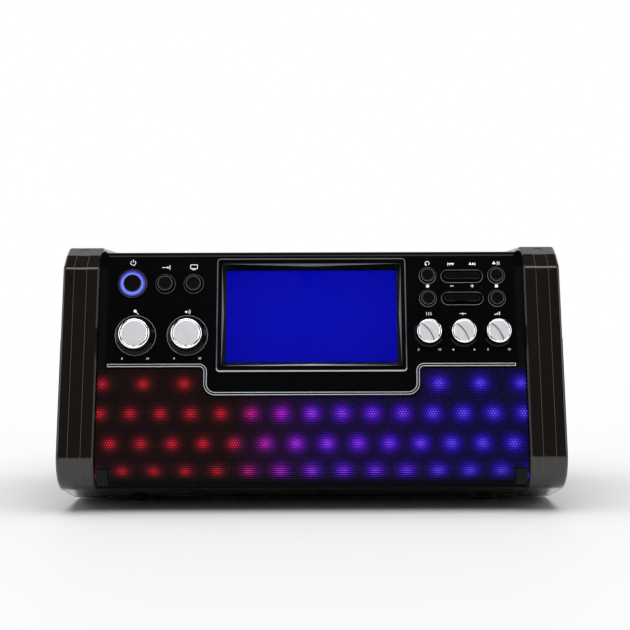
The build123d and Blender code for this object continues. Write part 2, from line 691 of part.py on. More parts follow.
def top_deck():
    """The roof: tablet slot, ledge and ears for the lid, and a rounded rear edge."""
    low = DECK_TOP - DECK_SKIRT
    far = HINGE_Y + BARREL_RADIUS + LID_GAP
    deck = body_shell(0, SHELL, BODY_HALF)
    deck &= span((-WIDTH, WIDTH), (LIP_END + DECK_LIP_SEAM, DEPTH), (low, CAP_TOP))
    deck += along_x(slot_section(SLOT_WALL), -SLOT_HALF - SLOT_WALL, SLOT_HALF + SLOT_WALL)
    wall_low = DECK_TOP - LEDGE_DROP - LEDGE_THICKNESS
    frame = Pos(0, 0, wall_low) * extrude(lid_outline(LID_GAP + SLOT_WALL), DECK_TOP - wall_low)
    deck += frame
    notch = (OPENING_HALF + SLOT_WALL, LID_FRONT + NOTCH_SETBACK)
    cup = upright(NOTCH_RADIUS + SLOT_WALL, DECK_TOP - NOTCH_DEPTH - SLOT_WALL, DECK_TOP, notch)
    deck += cup - span((0, LID_HALF - LEDGE + SLOT_WALL + SEAM), (FRONT, REAR), (0, CAP_TOP))
    deck -= along_x(slot_section(0), -SLOT_HALF, SLOT_HALF)
    deck -= Pos(0, 0, DECK_TOP - LEDGE_DROP) * extrude(lid_outline(LID_GAP), LEDGE_DROP + 1)
    deck -= Pos(0, 0, wall_low - 1) * extrude(lid_outline(-LEDGE), DECK_TOP)
    deck -= upright(NOTCH_RADIUS, DECK_TOP - NOTCH_DEPTH, CAP_TOP, notch)
    barrel_room = (HINGE_Y - 2 * BARREL_RADIUS, far)
    deck -= span((-OPENING_HALF, OPENING_HALF), barrel_room, (wall_low - 1, DECK_TOP + 1))
    for side in (-1, 1):
        start, end = sorted((side * EAR_START, side * (OPENING_HALF + SLOT_WALL)))
        ear = rod_x(BARREL_RADIUS, start, end, HINGE_Y, HINGE_Z)
        ear += span((start, end), (HINGE_Y, far + 1), (HINGE_Z - BARREL_RADIUS, DECK_TOP))
        deck += ear
        deck -= rod_x(PIN_RADIUS, start - 1, end + 1, HINGE_Y, HINGE_Z)
    return deck


def disc_lid():
    """The lid over the disc well, with a barrel that turns on two short pins."""
    notch = HINGE_Y - BARREL_RADIUS - 2 * EAR_GAP
    underside = DECK_TOP - LID_THICKNESS
    lid = Pos(0, 0, underside) * extrude(lid_outline(0), LID_THICKNESS)
    lid = fillet(lid.edges().group_by(Axis.Z)[-1].filter_by(lambda e: e.center().Y < HINGE_Y - 1), LID_EDGE_RADIUS)
    for side in (-1, 1):
        start, end = sorted((side * LID_BARREL_HALF, side * (LID_HALF + 1)))
        lid -= span((start, end), (notch, HINGE_Y + 1), (underside - 1, DECK_TOP + 1))
    skirt_height = TRAY_DROP - LID_THICKNESS - SKIRT_CLEARANCE
    skirt = lid_outline(-LEDGE - SKIRT_GAP) - lid_outline(-LEDGE - SKIRT_GAP - RIB)
    skirt = Pos(0, 0, underside - skirt_height) * extrude(skirt, skirt_height)
    lid += skirt & span((-LID_HALF, LID_HALF), (FRONT, HINGE_Y - 2 * BARREL_RADIUS), (0, CAP_TOP))
    lid += rod_x(BARREL_RADIUS, -LID_BARREL_HALF, LID_BARREL_HALF, HINGE_Y, HINGE_Z)
    return lid - rod_x(PIN_RADIUS + PIN_FIT, -WIDTH, WIDTH, HINGE_Y, HINGE_Z)


def lid_pins():
    """Two steel pins, pressed into the ears and free in the lid's barrel."""
    pin = rod_x(PIN_RADIUS, LID_BARREL_HALF - PIN_REACH, OPENING_HALF + SLOT_WALL, HINGE_Y, HINGE_Z)
    return [pin, mirror(pin, Plane.YZ)]


keep("top_deck", top_deck())
keep("disc_lid", disc_lid())
keep("lid_hinge_pins", *lid_pins())

# ================================================================ rear cover and sockets
REAR_FACE = REAR - REAR_INSET
cover_low = tub_top + SEAM
cover_high = DECK_TOP - DECK_SKIRT - SEAM


def rod_y(radius, start, end, x, z):
    """A round bar along Y."""
    bar = Cylinder(radius, end - start, align=(Align.CENTER, Align.CENTER, Align.MIN))
    return Pos(x, start, z) * Rot(-90, 0, 0) * bar


def rear_cover():
    """The back wall between tub and deck, with air slots and holes for the sockets."""
    cover = body_shell(0, SHELL, BODY_HALF)
    cover &= span((-WIDTH, WIDTH), (0, DEPTH), (cover_low, cover_high))
    first = -(REAR_VENTS - 1) / 2 * REAR_VENT_PITCH
    vent = Plane.XZ * Rot(0, 0, 90) * SlotOverall(REAR_VENT[1], REAR_VENT[0])
    vent = extrude(vent, -DEPTH)
    for index in range(REAR_VENTS):
        cover -= Pos(first + index * REAR_VENT_PITCH, 0, REAR_VENT_LEVEL) * vent
    for x in MIC_JACK_X:
        cover -= rod_y(MIC_NUT - 1, 0, DEPTH, x, JACK_LEVEL)
    start, end, tall = RCA_X[0] - RCA_ROOM, RCA_X[-1] + RCA_ROOM, RCA_ROOM
    floor = REAR_FACE - RCA_RECESS
    cover += span(
        (start - SHELL, end + SHELL), (floor - SHELL, REAR_FACE - 1),
        (JACK_LEVEL - tall - SHELL / 2, JACK_LEVEL + tall + SHELL),
    )
    cover -= span((start, end), (floor, DEPTH), (JACK_LEVEL - tall, JACK_LEVEL + tall))
    for x in RCA_X:
        cover -= rod_y(RCA_RADIUS + SOCKET_GAP, 0, DEPTH, x, JACK_LEVEL)
    for x, size in ((USB_X, (USB_OPENING[0] + 2, USB_OPENING[1] + 2)), (DC_X, DC_BODY)):
        half, tall = size[0] / 2 + SOCKET_GAP, size[1] / 2 + SOCKET_GAP
        cover -= span((x - half, x + half), (0, DEPTH), (JACK_LEVEL - tall, JACK_LEVEL + tall))
    return cover


def mic_jack(x):
    """A 6.35 mm socket: a body behind the cover and a round nut outside it."""
    inside = REAR_FACE - SHELL
    body = span(
        (x - MIC_BODY_HALF, x + MIC_BODY_HALF), (inside - MIC_LENGTH, inside - SEAM),
        (JACK_LEVEL - MIC_BODY_HALF, JACK_LEVEL + MIC_BODY_HALF),
    )
    jack = body + rod_y(MIC_NECK, inside - BITE, REAR_FACE + MIC_NECK_RISE, x, JACK_LEVEL)
    jack += rod_y(MIC_NUT, REAR_FACE + MIC_NUT_SPAN[0], REAR_FACE + MIC_NUT_SPAN[1], x, JACK_LEVEL)
    return jack - rod_y(MIC_BORE, inside - MIC_LENGTH + MIC_END_WALL, REAR, x, JACK_LEVEL)


def rca_jacks():
    """Three line sockets on one insulating block."""
    floor = REAR_FACE - RCA_RECESS
    face = floor - SHELL - SEAM
    block = span(
        (RCA_X[0] - RCA_BLOCK_HALF, RCA_X[-1] + RCA_BLOCK_HALF), (face - RCA_BLOCK_DEPTH, face),
        (JACK_LEVEL - RCA_BLOCK_HALF, JACK_LEVEL + RCA_BLOCK_HALF),
    )
    for x in RCA_X:
        block += rod_y(RCA_RADIUS, face - BITE, floor + RCA_LENGTH, x, JACK_LEVEL)
        block -= rod_y(RCA_HOLE, face - RCA_BORE_DEPTH, REAR, x, JACK_LEVEL)
    return block


def socket_box(x, size, length):
    """The closed body of a socket, flush with the back of the cover."""
    half, tall = size[0] / 2, size[1] / 2
    return span(
        (x - half, x + half), (REAR_FACE - length, REAR_FACE + SOCKET_RISE),
        (JACK_LEVEL - tall, JACK_LEVEL + tall),
    )


def usb_port():
    """A USB-A socket: a steel sleeve round a tongue."""
    width, height = USB_OPENING
    port = socket_box(USB_X, (width + 2 * USB_WALL, height + 2 * USB_WALL), USB_LENGTH)
    port -= span(
        (USB_X - width / 2, USB_X + width / 2), (REAR_FACE - USB_LENGTH + BITE, REAR),
        (JACK_LEVEL - height / 2, JACK_LEVEL + height / 2),
    )
    return port + span(
        (USB_X - USB_TONGUE_HALF, USB_X + USB_TONGUE_HALF), (REAR_FACE - USB_LENGTH, REAR_FACE - USB_TONGUE_SETBACK),
        (JACK_LEVEL + USB_TONGUE[0], JACK_LEVEL + USB_TONGUE[1]),
    )


def dc_jack():
    """The low-voltage supply socket, a bore with a centre pin."""
    jack = socket_box(DC_X, DC_BODY, DC_LENGTH)
    jack -= rod_y(DC_BORE, REAR_FACE - DC_DEPTH, REAR, DC_X, JACK_LEVEL)
    return jack + rod_y(DC_PIN, REAR_FACE - DC_DEPTH - BITE, REAR_FACE - DC_PIN_SETBACK, DC_X, JACK_LEVEL)


def main_board():
    """The main circuit board with its larger components."""
    (width, length), (x, y) = BOARD_SIZE, BOARD_PLACE
    top = BOARD_LEVEL + BOARD_THICKNESS
    board = span((x - width / 2, x + width / 2), (y - length / 2, y + length / 2), (BOARD_LEVEL, top))
    for dx, dy in BOARD_SCREWS:
        board -= upright(FOOT_SCREW_RADIUS, BOARD_LEVEL, top, (x + dx, y + dy))
    radius, height = CAPACITOR
    for dx, dy in CAPACITOR_PLACES:
        board += upright(radius, top, top + height, (x + dx, y + dy))
    (left, right), (front, back), height = HEAT_SINK
    board += span((x + left, x + right), (y + front, y + back), (top, top + height))
    for dx, dy, half in CHIPS:
        board += span(
            (x + dx - half, x + dx + half), (y + dy - half, y + dy + half), (top, top + CHIP_HEIGHT),
        )
    return board


keep("rear_cover", rear_cover())
keep("mic_jacks", *[mic_jack(x) for x in MIC_JACK_X])
keep("rca_jacks", rca_jacks())
keep("usb_port", usb_port())
keep("dc_jack", dc_jack())
keep("main_board", main_board())


# ================================================================ front frame
def up_from_top(drop):
    """A distance down from the panel's top edge, as a height on the face."""
    return FASCIA_TOP - drop


BOARD_POSTS = [(x, up_from_top(drop)) for x in BOARD_POST_X for drop in BOARD_POST_DROPS]


def spots(places):
    """Locations on the face for a set of named places."""
    return [Pos(x, up_from_top(drop)) for x, drop in places.values()]


def through(sketch, near=-PAST, far=2 * PAST):
    """A hole through everything near the face."""
    return plate(sketch, near, far)


def control_holes(grow):
    """Holes for shafts and buttons, wider by the amount given."""
    holes = Sketch()
    for spot in spots(BIG_KNOBS) + spots(SMALL_KNOBS):
        holes += spot * Circle(BUSHING_RADIUS + BUSHING_GAP)
    for spot in spots(LEFT_BUTTONS):
        holes += spot * Circle(LEFT_BUTTON_RADIUS + grow)
    for spot in spots(RIGHT_BUTTONS):
        holes += spot * Circle(RIGHT_BUTTON_RADIUS + grow)
    for spot in spots(KEY_PAIRS):
        holes += spot * SlotOverall(KEY_SIZE[0] + 2 * grow, KEY_SIZE[1] + 2 * grow)
    return holes


def power_spot():
    """The location of the power button on the face."""
    return Pos(POWER_PLACE[0], up_from_top(POWER_PLACE[1]))


def screen_spot():
    """The location of the middle of the screen on the face."""
    return Pos(0, up_from_top(SCREEN_DROP))


def low_lug_block(grow, top_gap):
    """The room of the lower right lug in the knee of the front."""
    x = (LOW_LUG[0] - grow, LOW_LUG[1] + grow)
    z = (CAP_BASE + LOW_LUG_RISE[0] - grow, CAP_BASE + LOW_LUG_RISE[1] + grow)
    block = along_x(body_profile(top_gap), x[0], x[1]) - along_x(body_profile(LOW_LUG_DEPTH), x[0], x[1])
    return block & span(x, (FRONT, FRONT + LOW_LUG_REACH), z)


def top_lug():
    """The upper right lug, with a roof-shaped top."""
    left, right = TOP_LUG
    top = FASCIA_TOP + TOP_LUG_RISE
    low = top - TOP_LUG_HEIGHT
    peak = (left + right) / 2
    outline = Polyline(
        (left, low), (right, low), (right, top - TOP_LUG_SHOULDERS[1]), (peak, top),
        (left, top - TOP_LUG_SHOULDERS[0]), close=True,
    )
    return plate(make_face(outline), TOP_LUG_SETBACK, TOP_LUG_DEPTH)


def front_frame():
    """The frame behind the front: panel seat, light chamber and speaker baffle."""
    core = along_x(body_profile(GRILLE_THICKNESS + GRILLE_GAP), -BODY_HALF, BODY_HALF)
    core &= span((-WIDTH, WIDTH), (FRONT, 0), (0, DECK_TOP - SHELL - FRAME_TOP_GAP))
    above = FASCIA_TOP + PAST
    whole = Rectangle(2 * WIDTH, above - FRAME_LOW, align=(Align.CENTER, Align.MIN))
    whole = Pos(0, FRAME_LOW) * whole
    frame = core & plate(whole, 0, CHAMBER_DEPTH + FRAME_PLATE)
    frame -= plate(whole - t_shape(CHAMBER_WALL, above), -PAST, CHAMBER_DEPTH)
    frame -= plate(t_shape(PANEL_GAP, above), -PAST, PANEL_SEAT)
    frame -= plate(t_shape(-CHAMBER_WALL, above), PANEL_SEAT + FRAME_PLATE, 2 * CHAMBER_DEPTH)
    for side in (-1, 1):
        frame -= through(Pos(side * SPEAKER_X, SPEAKER_UP) * Circle(SPEAKER_HOLE), CHAMBER_DEPTH - 1)
    for x, y in BOARD_POSTS:
        frame += plate(Pos(x, y) * Circle(BOSS_RADIUS), PANEL_SEAT + 1, CONTROL_BOARD_DEPTH)
    frame -= through(control_holes(BUTTON_FIT + FLANGE_OVERHANG + FLANGE_ROOM), 0, CONTROL_BOARD_DEPTH)
    frame -= through(power_spot() * Circle(POWER_BEZEL[0]), 0, CONTROL_BOARD_DEPTH)
    frame -= through(screen_spot() * Rectangle(*DISPLAY_ROOM), 0)
    lug = top_lug()
    low_lug = low_lug_block(0, -LOW_LUG_RAISE)
    return frame + lug + mirror(lug, Plane.YZ) + low_lug + mirror(low_lug, Plane.YZ)


keep("front_frame", front_frame())


# ================================================================ control panel and grille
def flat_ring(outer, inner, height):
    """A raised round collar on the panel."""
    return turned([
        (inner, -BITE), (outer, -BITE), (outer, height - RING_CHAMFER),
        (outer - RING_CHAMFER, height), (inner, height),
    ])


def bezel():
    """The raised frame round the screen, with a bevelled opening."""
    width, height = BEZEL
    ridge = extrude(RectangleRounded(width, height, BEZEL_RADIUS), BEZEL_RAISE + 1)
    ridge = Pos(0, 0, -1) * chamfer(ridge.edges().group_by(Axis.Z)[-1], EDGE_CHAMFER)
    return ridge


def bezel_opening():
    """The opening, which narrows towards the screen."""
    wide, deep = BEZEL_OPENING, BEZEL_RAISE + FASCIA_THICKNESS
    narrow = [size - 2 * BEZEL_SLOPE for size in wide]
    front = Pos(0, 0, BEZEL_RAISE) * Rectangle(*wide)
    back = Pos(0, 0, BEZEL_RAISE - deep) * Rectangle(*narrow)
    clear = Pos(0, 0, -PAST) * extrude(Rectangle(*narrow), PAST)
    above = Pos(0, 0, BEZEL_RAISE) * extrude(Rectangle(*wide), PAST)
    return loft([back, front]) + clear + above


def bead():
    """The raised bead that follows the panel's lower edge."""
    above = FASCIA_TOP + PAST
    rim = t_shape(0, above) - t_shape(-BEAD_WIDTH, above)
    rim &= Pos(0, STEM_EDGE - BITE) * Rectangle(
        2 * (FASCIA_HALF - BITE), WING_EDGE + BEAD_WIDTH + BITE - STEM_EDGE, align=(Align.CENTER, Align.MIN),
    )
    ridge = extrude(rim, BEAD_HEIGHT + BITE)
    ridge = fillet(ridge.edges().group_by(Axis.Z)[-1], BEAD_RADIUS)
    return FACE * Pos(0, 0, -BITE) * ridge


def fascia():
    """The gloss control panel, with its screen frame, collars and bead."""
    panel = body_shell(0, FASCIA_THICKNESS, FASCIA_HALF, FASCIA_GAPS)
    panel &= plate(t_shape(0, FASCIA_TOP + PAST), -PAST, PAST)
    panel &= span((-WIDTH, WIDTH), (FRONT, LIP_END), (0, CAP_TOP))
    panel += bead()
    panel += FACE * screen_spot() * bezel()
    for spots_of, outer in ((LEFT_BUTTONS, LEFT_RING), (RIGHT_BUTTONS, RIGHT_RING)):
        for spot in spots(spots_of):
            panel += FACE * spot * flat_ring(outer, outer - RING_WALL, RING_HEIGHT)
    width, height = KEY_RING
    for spot in spots(KEY_PAIRS):
        ring = SlotOverall(width, height) - SlotOverall(width - 2 * RING_WALL, height - 2 * RING_WALL)
        panel += FACE * spot * Pos(0, 0, -1) * extrude(ring, RING_HEIGHT + 1)
    panel += FACE * power_spot() * flat_ring(*POWER_BEZEL, POWER_BEZEL_HEIGHT)
    panel -= through(control_holes(BUTTON_FIT))
    panel -= through(power_spot() * Circle(LIGHT_RING[0] + BUTTON_FIT / 2))
    return panel - FACE * screen_spot() * bezel_opening()


def grille():
    """The perforated sheet round the panel, which runs on under the knee."""
    sheet = body_shell(0, GRILLE_THICKNESS, BODY_HALF)
    sheet &= span((-WIDTH, WIDTH), (FRONT, LIP_END), (0, DECK_TOP - SHELL - SEAM))
    sheet -= span((-WIDTH, WIDTH), (FRONT + LIP_START - SEAM, 0), (0, KNEE_Z))
    sheet -= through(t_shape(PANEL_GAP, FASCIA_TOP + PAST))
    left, right = TOP_LUG
    room = Pos(left - PANEL_GAP, FASCIA_TOP + TOP_LUG_RISE - TOP_LUG_HEIGHT - PANEL_GAP)
    corner = (Align.MIN, Align.MIN)
    top_room = through(room * Rectangle(right - left + PAST, 3 * TOP_LUG_HEIGHT, align=corner))
    low_room = low_lug_block(PANEL_GAP, -2)
    for room in (top_room, low_room):
        sheet -= room
        sheet -= mirror(room, Plane.YZ)
    return sheet


def display_module():
    """The display: a glass panel in a flanged metal tray."""
    width, height = (size - 2 * DISPLAY_FIT for size in DISPLAY_ROOM)
    near = FASCIA_THICKNESS + WINDOW_THICKNESS + DRAFT_GAP
    module = plate(screen_spot() * Rectangle(width, height), near, near + DISPLAY_THICKNESS)
    seat = PANEL_SEAT + FRAME_PLATE
    flange = screen_spot() * Rectangle(width + 2 * DISPLAY_FLANGE, height + 2 * DISPLAY_FLANGE)
    return module + plate(flange, seat + SEAT_GAP, seat + DISPLAY_FLANGE_THICKNESS)


width, height = (size - 4 * DISPLAY_FIT for size in DISPLAY_ROOM)
window_near = FASCIA_THICKNESS + SEAT_GAP
keep("fascia", fascia())
keep("grille", grille())
keep("screen_window", plate(
    screen_spot() * Rectangle(width, height), window_near, window_near + WINDOW_THICKNESS,
))
keep("display_module", display_module())
pad_spot = Pos(SLOT_FRONT, SLOT_FLOOR) * Rectangle(2 * (SLOT_OPENING + PAST), PAD_THICKNESS)
keep("tablet_pad", along_x(slot_section(-DRAFT_GAP) & pad_spot, BITE - SLOT_HALF, SLOT_HALF - BITE))


# ================================================================ knobs


def knob(size):
    """A knob with a thin skirt, a tapered body and its shaft."""
    seat, skirt_top = size["seat"], KNOB_GAP + size["skirt_height"]
    body = turned([
        (0, -SHAFT_DEPTH), (SHAFT_RADIUS, -SHAFT_DEPTH), (SHAFT_RADIUS, KNOB_GAP),
        (size["skirt"], KNOB_GAP), (size["skirt"], skirt_top - SKIRT_BEVEL), (size["foot"], skirt_top),
        (size["head"], seat), (CAP_PEG + SHAFT_FIT, seat), (CAP_PEG + SHAFT_FIT, skirt_top),
        (0, skirt_top),
    ])
    return body


def knob_cap(size):
    """A chrome disc with a rounded rim and a shallow dish, on a short peg."""
    seat, radius, dish = size["seat"], size["cap"], size["dish"]
    top = seat + size["cap_height"]
    rim = (radius - dish) / 2
    lines = Polyline(
        (dish, 0, top - DISH_SINK), (0, 0, top - DISH_SINK),
        (0, 0, seat - CAP_PEG_LENGTH), (CAP_PEG, 0, seat - CAP_PEG_LENGTH),
        (CAP_PEG, 0, seat), (radius, 0, seat), (radius, 0, top - rim),
    )
    crown = ThreePointArc(
        (radius, 0, top - rim), (radius - rim, 0, top), (dish, 0, top - DISH_SINK),
    )
    return revolve(make_face(lines + crown), Axis.Z)


for places, size in ((BIG_KNOBS, BIG_KNOB), (SMALL_KNOBS, SMALL_KNOB)):
    for name, spot in zip(places, spots(places)):
        keep(f"{name}_knob", FACE * spot * knob(size))
        keep(f"{name}_cap", FACE * spot * knob_cap(size))

pot = turned([
    (SHAFT_RADIUS + SHAFT_FIT, -BUSHING_SETBACK), (BUSHING_RADIUS, -BUSHING_SETBACK),
    (BUSHING_RADIUS, -POT_SEAT), (POT_RADIUS, -POT_SEAT), (POT_RADIUS, -CONTROL_BOARD_DEPTH), (0, -CONTROL_BOARD_DEPTH),
    (0, -SHAFT_DEPTH - SHAFT_END_GAP), (SHAFT_RADIUS + SHAFT_FIT, -SHAFT_DEPTH - SHAFT_END_GAP),
])
keep("potentiometers", *[FACE * spot * pot for spot in spots(BIG_KNOBS) + spots(SMALL_KNOBS)])


# ================================================================ buttons and their switches
switch_top = CONTROL_BOARD_DEPTH - SWITCH_HEIGHT - PLUNGER
STEM_DEPTH = switch_top - BUTTON_TRAVEL - SWITCH_FREE


def round_button(radius, out, crown):
    """A push button: a softly edged head, a flange behind the panel and a stem."""
    return turned([
        (0, -STEM_DEPTH), (STEM_RADIUS_BUTTON, -STEM_DEPTH), (STEM_RADIUS_BUTTON, -FLANGE_DEPTH - FLANGE),
        (radius + FLANGE_OVERHANG, -FLANGE_DEPTH - FLANGE), (radius + FLANGE_OVERHANG, -FLANGE_DEPTH),
        (radius, -FLANGE_DEPTH), (radius, out - crown), (radius - crown, out), (0, out),
    ])


def half_key(side, out):
    """One half of a split key, to the left (-1) or right (1) of the split."""
    width, height = KEY_SIZE
    half = Pos(side * width, 0) * Rectangle(2 * width - KEY_SPLIT, 3 * height)
    head = extrude(SlotOverall(width, height) & half, out + FLANGE_DEPTH)
    head = chamfer(head.edges().group_by(Axis.Z)[-1], BUTTON_CHAMFER)
    grown = SlotOverall(width + 2 * FLANGE_OVERHANG, height + 2 * FLANGE_OVERHANG) & half
    key = Pos(0, 0, -FLANGE_DEPTH) * head + Pos(0, 0, -FLANGE_DEPTH - FLANGE) * extrude(grown, FLANGE)
    stem = upright(STEM_RADIUS_BUTTON, 0, STEM_DEPTH - FLANGE_DEPTH - BUTTON_EDGE)
    return key + Pos(side * width / 4, 0, -STEM_DEPTH) * stem


for places, radius, kind in (
    (LEFT_BUTTONS, LEFT_BUTTON_RADIUS, "left"), (RIGHT_BUTTONS, RIGHT_BUTTON_RADIUS, "right"),
):
    for name, spot in zip(places, spots(places)):
        keep(name, FACE * spot * round_button(radius, BUTTON_OUT[kind], BUTTON_EDGE))
for (left_name, right_name), spot in zip(KEY_PAIRS, spots(KEY_PAIRS)):
    keep(left_name, FACE * spot * half_key(-1, BUTTON_OUT["key"]))
    keep(right_name, FACE * spot * half_key(1, BUTTON_OUT["key"]))

# The power button's flange lies behind the light ring, which is seated in the panel.
ring_outer, ring_inner = LIGHT_RING
ring_back = PANEL_SEAT + FRAME_PLATE
power_flange = ring_back + FLANGE_GAP
power_out = BUTTON_OUT["power"]
keep("power_ring", FACE * power_spot() * turned([
    (ring_inner, -ring_back), (ring_outer + RING_FOOT, -ring_back), (ring_outer + RING_FOOT, -FLANGE_DEPTH),
    (ring_outer, -FLANGE_DEPTH), (ring_outer, LIGHT_RING_HEIGHT - RING_BEVEL),
    (ring_outer - RING_BEVEL, LIGHT_RING_HEIGHT), (ring_inner + BUTTON_EDGE, LIGHT_RING_HEIGHT),
    (ring_inner, LIGHT_RING_HEIGHT - BUTTON_EDGE),
]))
keep("power_button", FACE * power_spot() * turned([
    (0, -STEM_DEPTH), (STEM_RADIUS_BUTTON, -STEM_DEPTH),
    (STEM_RADIUS_BUTTON, -power_flange - POWER_FLANGE), (ring_inner + FLANGE, -power_flange - POWER_FLANGE),
    (ring_inner + FLANGE, -power_flange), (POWER_BUTTON_RADIUS, -power_flange),
    (POWER_BUTTON_RADIUS, power_out - BUTTON_EDGE), (POWER_BUTTON_RADIUS - BUTTON_EDGE, power_out),
    (0, power_out),
]))


def switch():
    """A push switch, drawn from the board's front with its plunger outwards."""
    case = Pos(0, 0, SWITCH_HEIGHT / 2) * Box(2 * SWITCH_HALF, 2 * SWITCH_HALF, SWITCH_HEIGHT)
    return case + upright(PLUNGER_RADIUS, SWITCH_HEIGHT, SWITCH_HEIGHT + PLUNGER)


def control_boards():
    """The two boards behind the knobs and buttons, with a switch behind each button."""
    high, low = (up_from_top(drop) for drop in CONTROL_BOARD_DROPS)
    boards = []
    key_spots = [spot * Pos(side * KEY_SIZE[0] / 4, 0) for spot in spots(KEY_PAIRS) for side in (-1, 1)]
    button_spots = [power_spot()] + spots(LEFT_BUTTONS) + spots(RIGHT_BUTTONS) + key_spots
    for start, end in CONTROL_BOARD_SPANS:
        sketch = Pos((start + end) / 2, (low + high) / 2) * Rectangle(end - start, high - low)
        for x, y in BOARD_POSTS:
            sketch -= Pos(x, y) * Circle(FOOT_SCREW_RADIUS)
        board = plate(sketch, CONTROL_BOARD_DEPTH, CONTROL_BOARD_DEPTH + BOARD_THICKNESS)
        for spot in button_spots:
            if start < spot.position.X < end:
                board += FACE * spot * Pos(0, 0, -CONTROL_BOARD_DEPTH) * switch()
        boards.append(board)
    return boards


keep("control_boards", *control_boards())


# ================================================================ lights and speakers
led_front = CHAMBER_DEPTH - LED_FLOOR_GAP - LED_BAR_THICKNESS


def led_rows():
    """Every row of lights as (height on the face, X of each light, X limits of its bars)."""
    start = SHORT_ROW_X[0] - LED_BAR_HEIGHT / 2
    short = [-x for x in SHORT_ROW_X] + list(SHORT_ROW_X)
    up = up_from_top(SHORT_ROW_DROP)
    rise = (up + LOW_ROW_BELOW_KNEE) / len(LONG_ROWS)
    rows = [(up, short, [(-LED_BAR_END, -start), (start, LED_BAR_END)])]
    for count, pitch in LONG_ROWS:
        up -= rise
        places = [(index - (count - 1) / 2) * pitch for index in range(count)]
        rows.append((up, places, [(-LED_BAR_END, LED_BAR_END)]))
    return rows


bars, leds = [], []
for up, places, limits in led_rows():
    for start, end in limits:
        sketch = Pos((start + end) / 2, up) * Rectangle(end - start, LED_BAR_HEIGHT)
        bars.append(plate(sketch, led_front, led_front + LED_BAR_THICKNESS))
    for x in places:
        sketch = Pos(x, up) * Rectangle(LED_SIZE, LED_SIZE)
        leds.append(plate(sketch, led_front - LED_THICKNESS, led_front))
keep("led_strips", *bars)
keep("leds", *leds)

speaker_seat = CHAMBER_DEPTH + FRAME_PLATE

magnet_radius, magnet_height = MAGNET
neck = SPEAKER_FLANGE_THICKNESS + SPEAKER_DEPTH - magnet_height
inner = magnet_radius - MAGNET_STEP
driver = turned([
    (CONE_RADIUS + CONE_EDGE_GAP, 0), (SPEAKER_FLANGE, 0), (SPEAKER_FLANGE, -SPEAKER_FLANGE_THICKNESS),
    (CONE_RADIUS + MAGNET_STEP, -SPEAKER_FLANGE_THICKNESS), (inner, -neck), (magnet_radius, -neck),
    (magnet_radius, -neck - magnet_height), (0, -neck - magnet_height), (0, -neck + MAGNET_STEP),
    (inner - MAGNET_STEP, -neck + MAGNET_STEP), (CONE_RADIUS + CONE_EDGE_GAP, -SPEAKER_FLANGE_THICKNESS),
])
roll_inner, roll_middle = CONE_RADIUS - ROLL_WIDTH, CONE_RADIUS - ROLL_WIDTH / 2
low, crest, edge = ROLL_LEVELS
rim = CONE_RADIUS + CONE_RIM
cone = turned([
    (0, DUST_CAP_RISE[0] - CONE_DEPTH), (DUST_CAP * DUST_CAP_SHARE, DUST_CAP_RISE[1] - CONE_DEPTH),
    (DUST_CAP, -CONE_DEPTH), (roll_inner, low), (roll_middle, crest), (CONE_RADIUS, edge), (rim, edge),
    (rim, edge - CONE_THICKNESS), (roll_inner, low - CONE_THICKNESS),
    (DUST_CAP, -CONE_DEPTH - CONE_THICKNESS), (0, -CONE_DEPTH - CONE_THICKNESS),
])
speaker_spots = [on_face(side * SPEAKER_X, SPEAKER_UP, -speaker_seat) for side in (-1, 1)]
keep("speaker_drivers", *[spot * driver for spot in speaker_spots])
keep("speaker_cones", *[spot * cone for spot in speaker_spots])


# ================================================================ disc well and mechanism

bowl_y = LID_FRONT + LID_LENGTH / 2
bowl_floor = DECK_TOP - BOWL_DROP
well_under = bowl_floor - TRAY_WALL
tray_top = DECK_TOP - TRAY_DROP
disc_plane = bowl_floor + DISC_LIFT
chassis_top = well_under - CHASSIS_DROP
chassis_low = chassis_top - CHASSIS_THICKNESS
rod_level = chassis_top + ROD_LIFT
spindle = (0.0, bowl_y)


def from_spindle(x, y):
    """A place given by its distance from the spindle."""
    return (spindle[0] + x, spindle[1] + y)


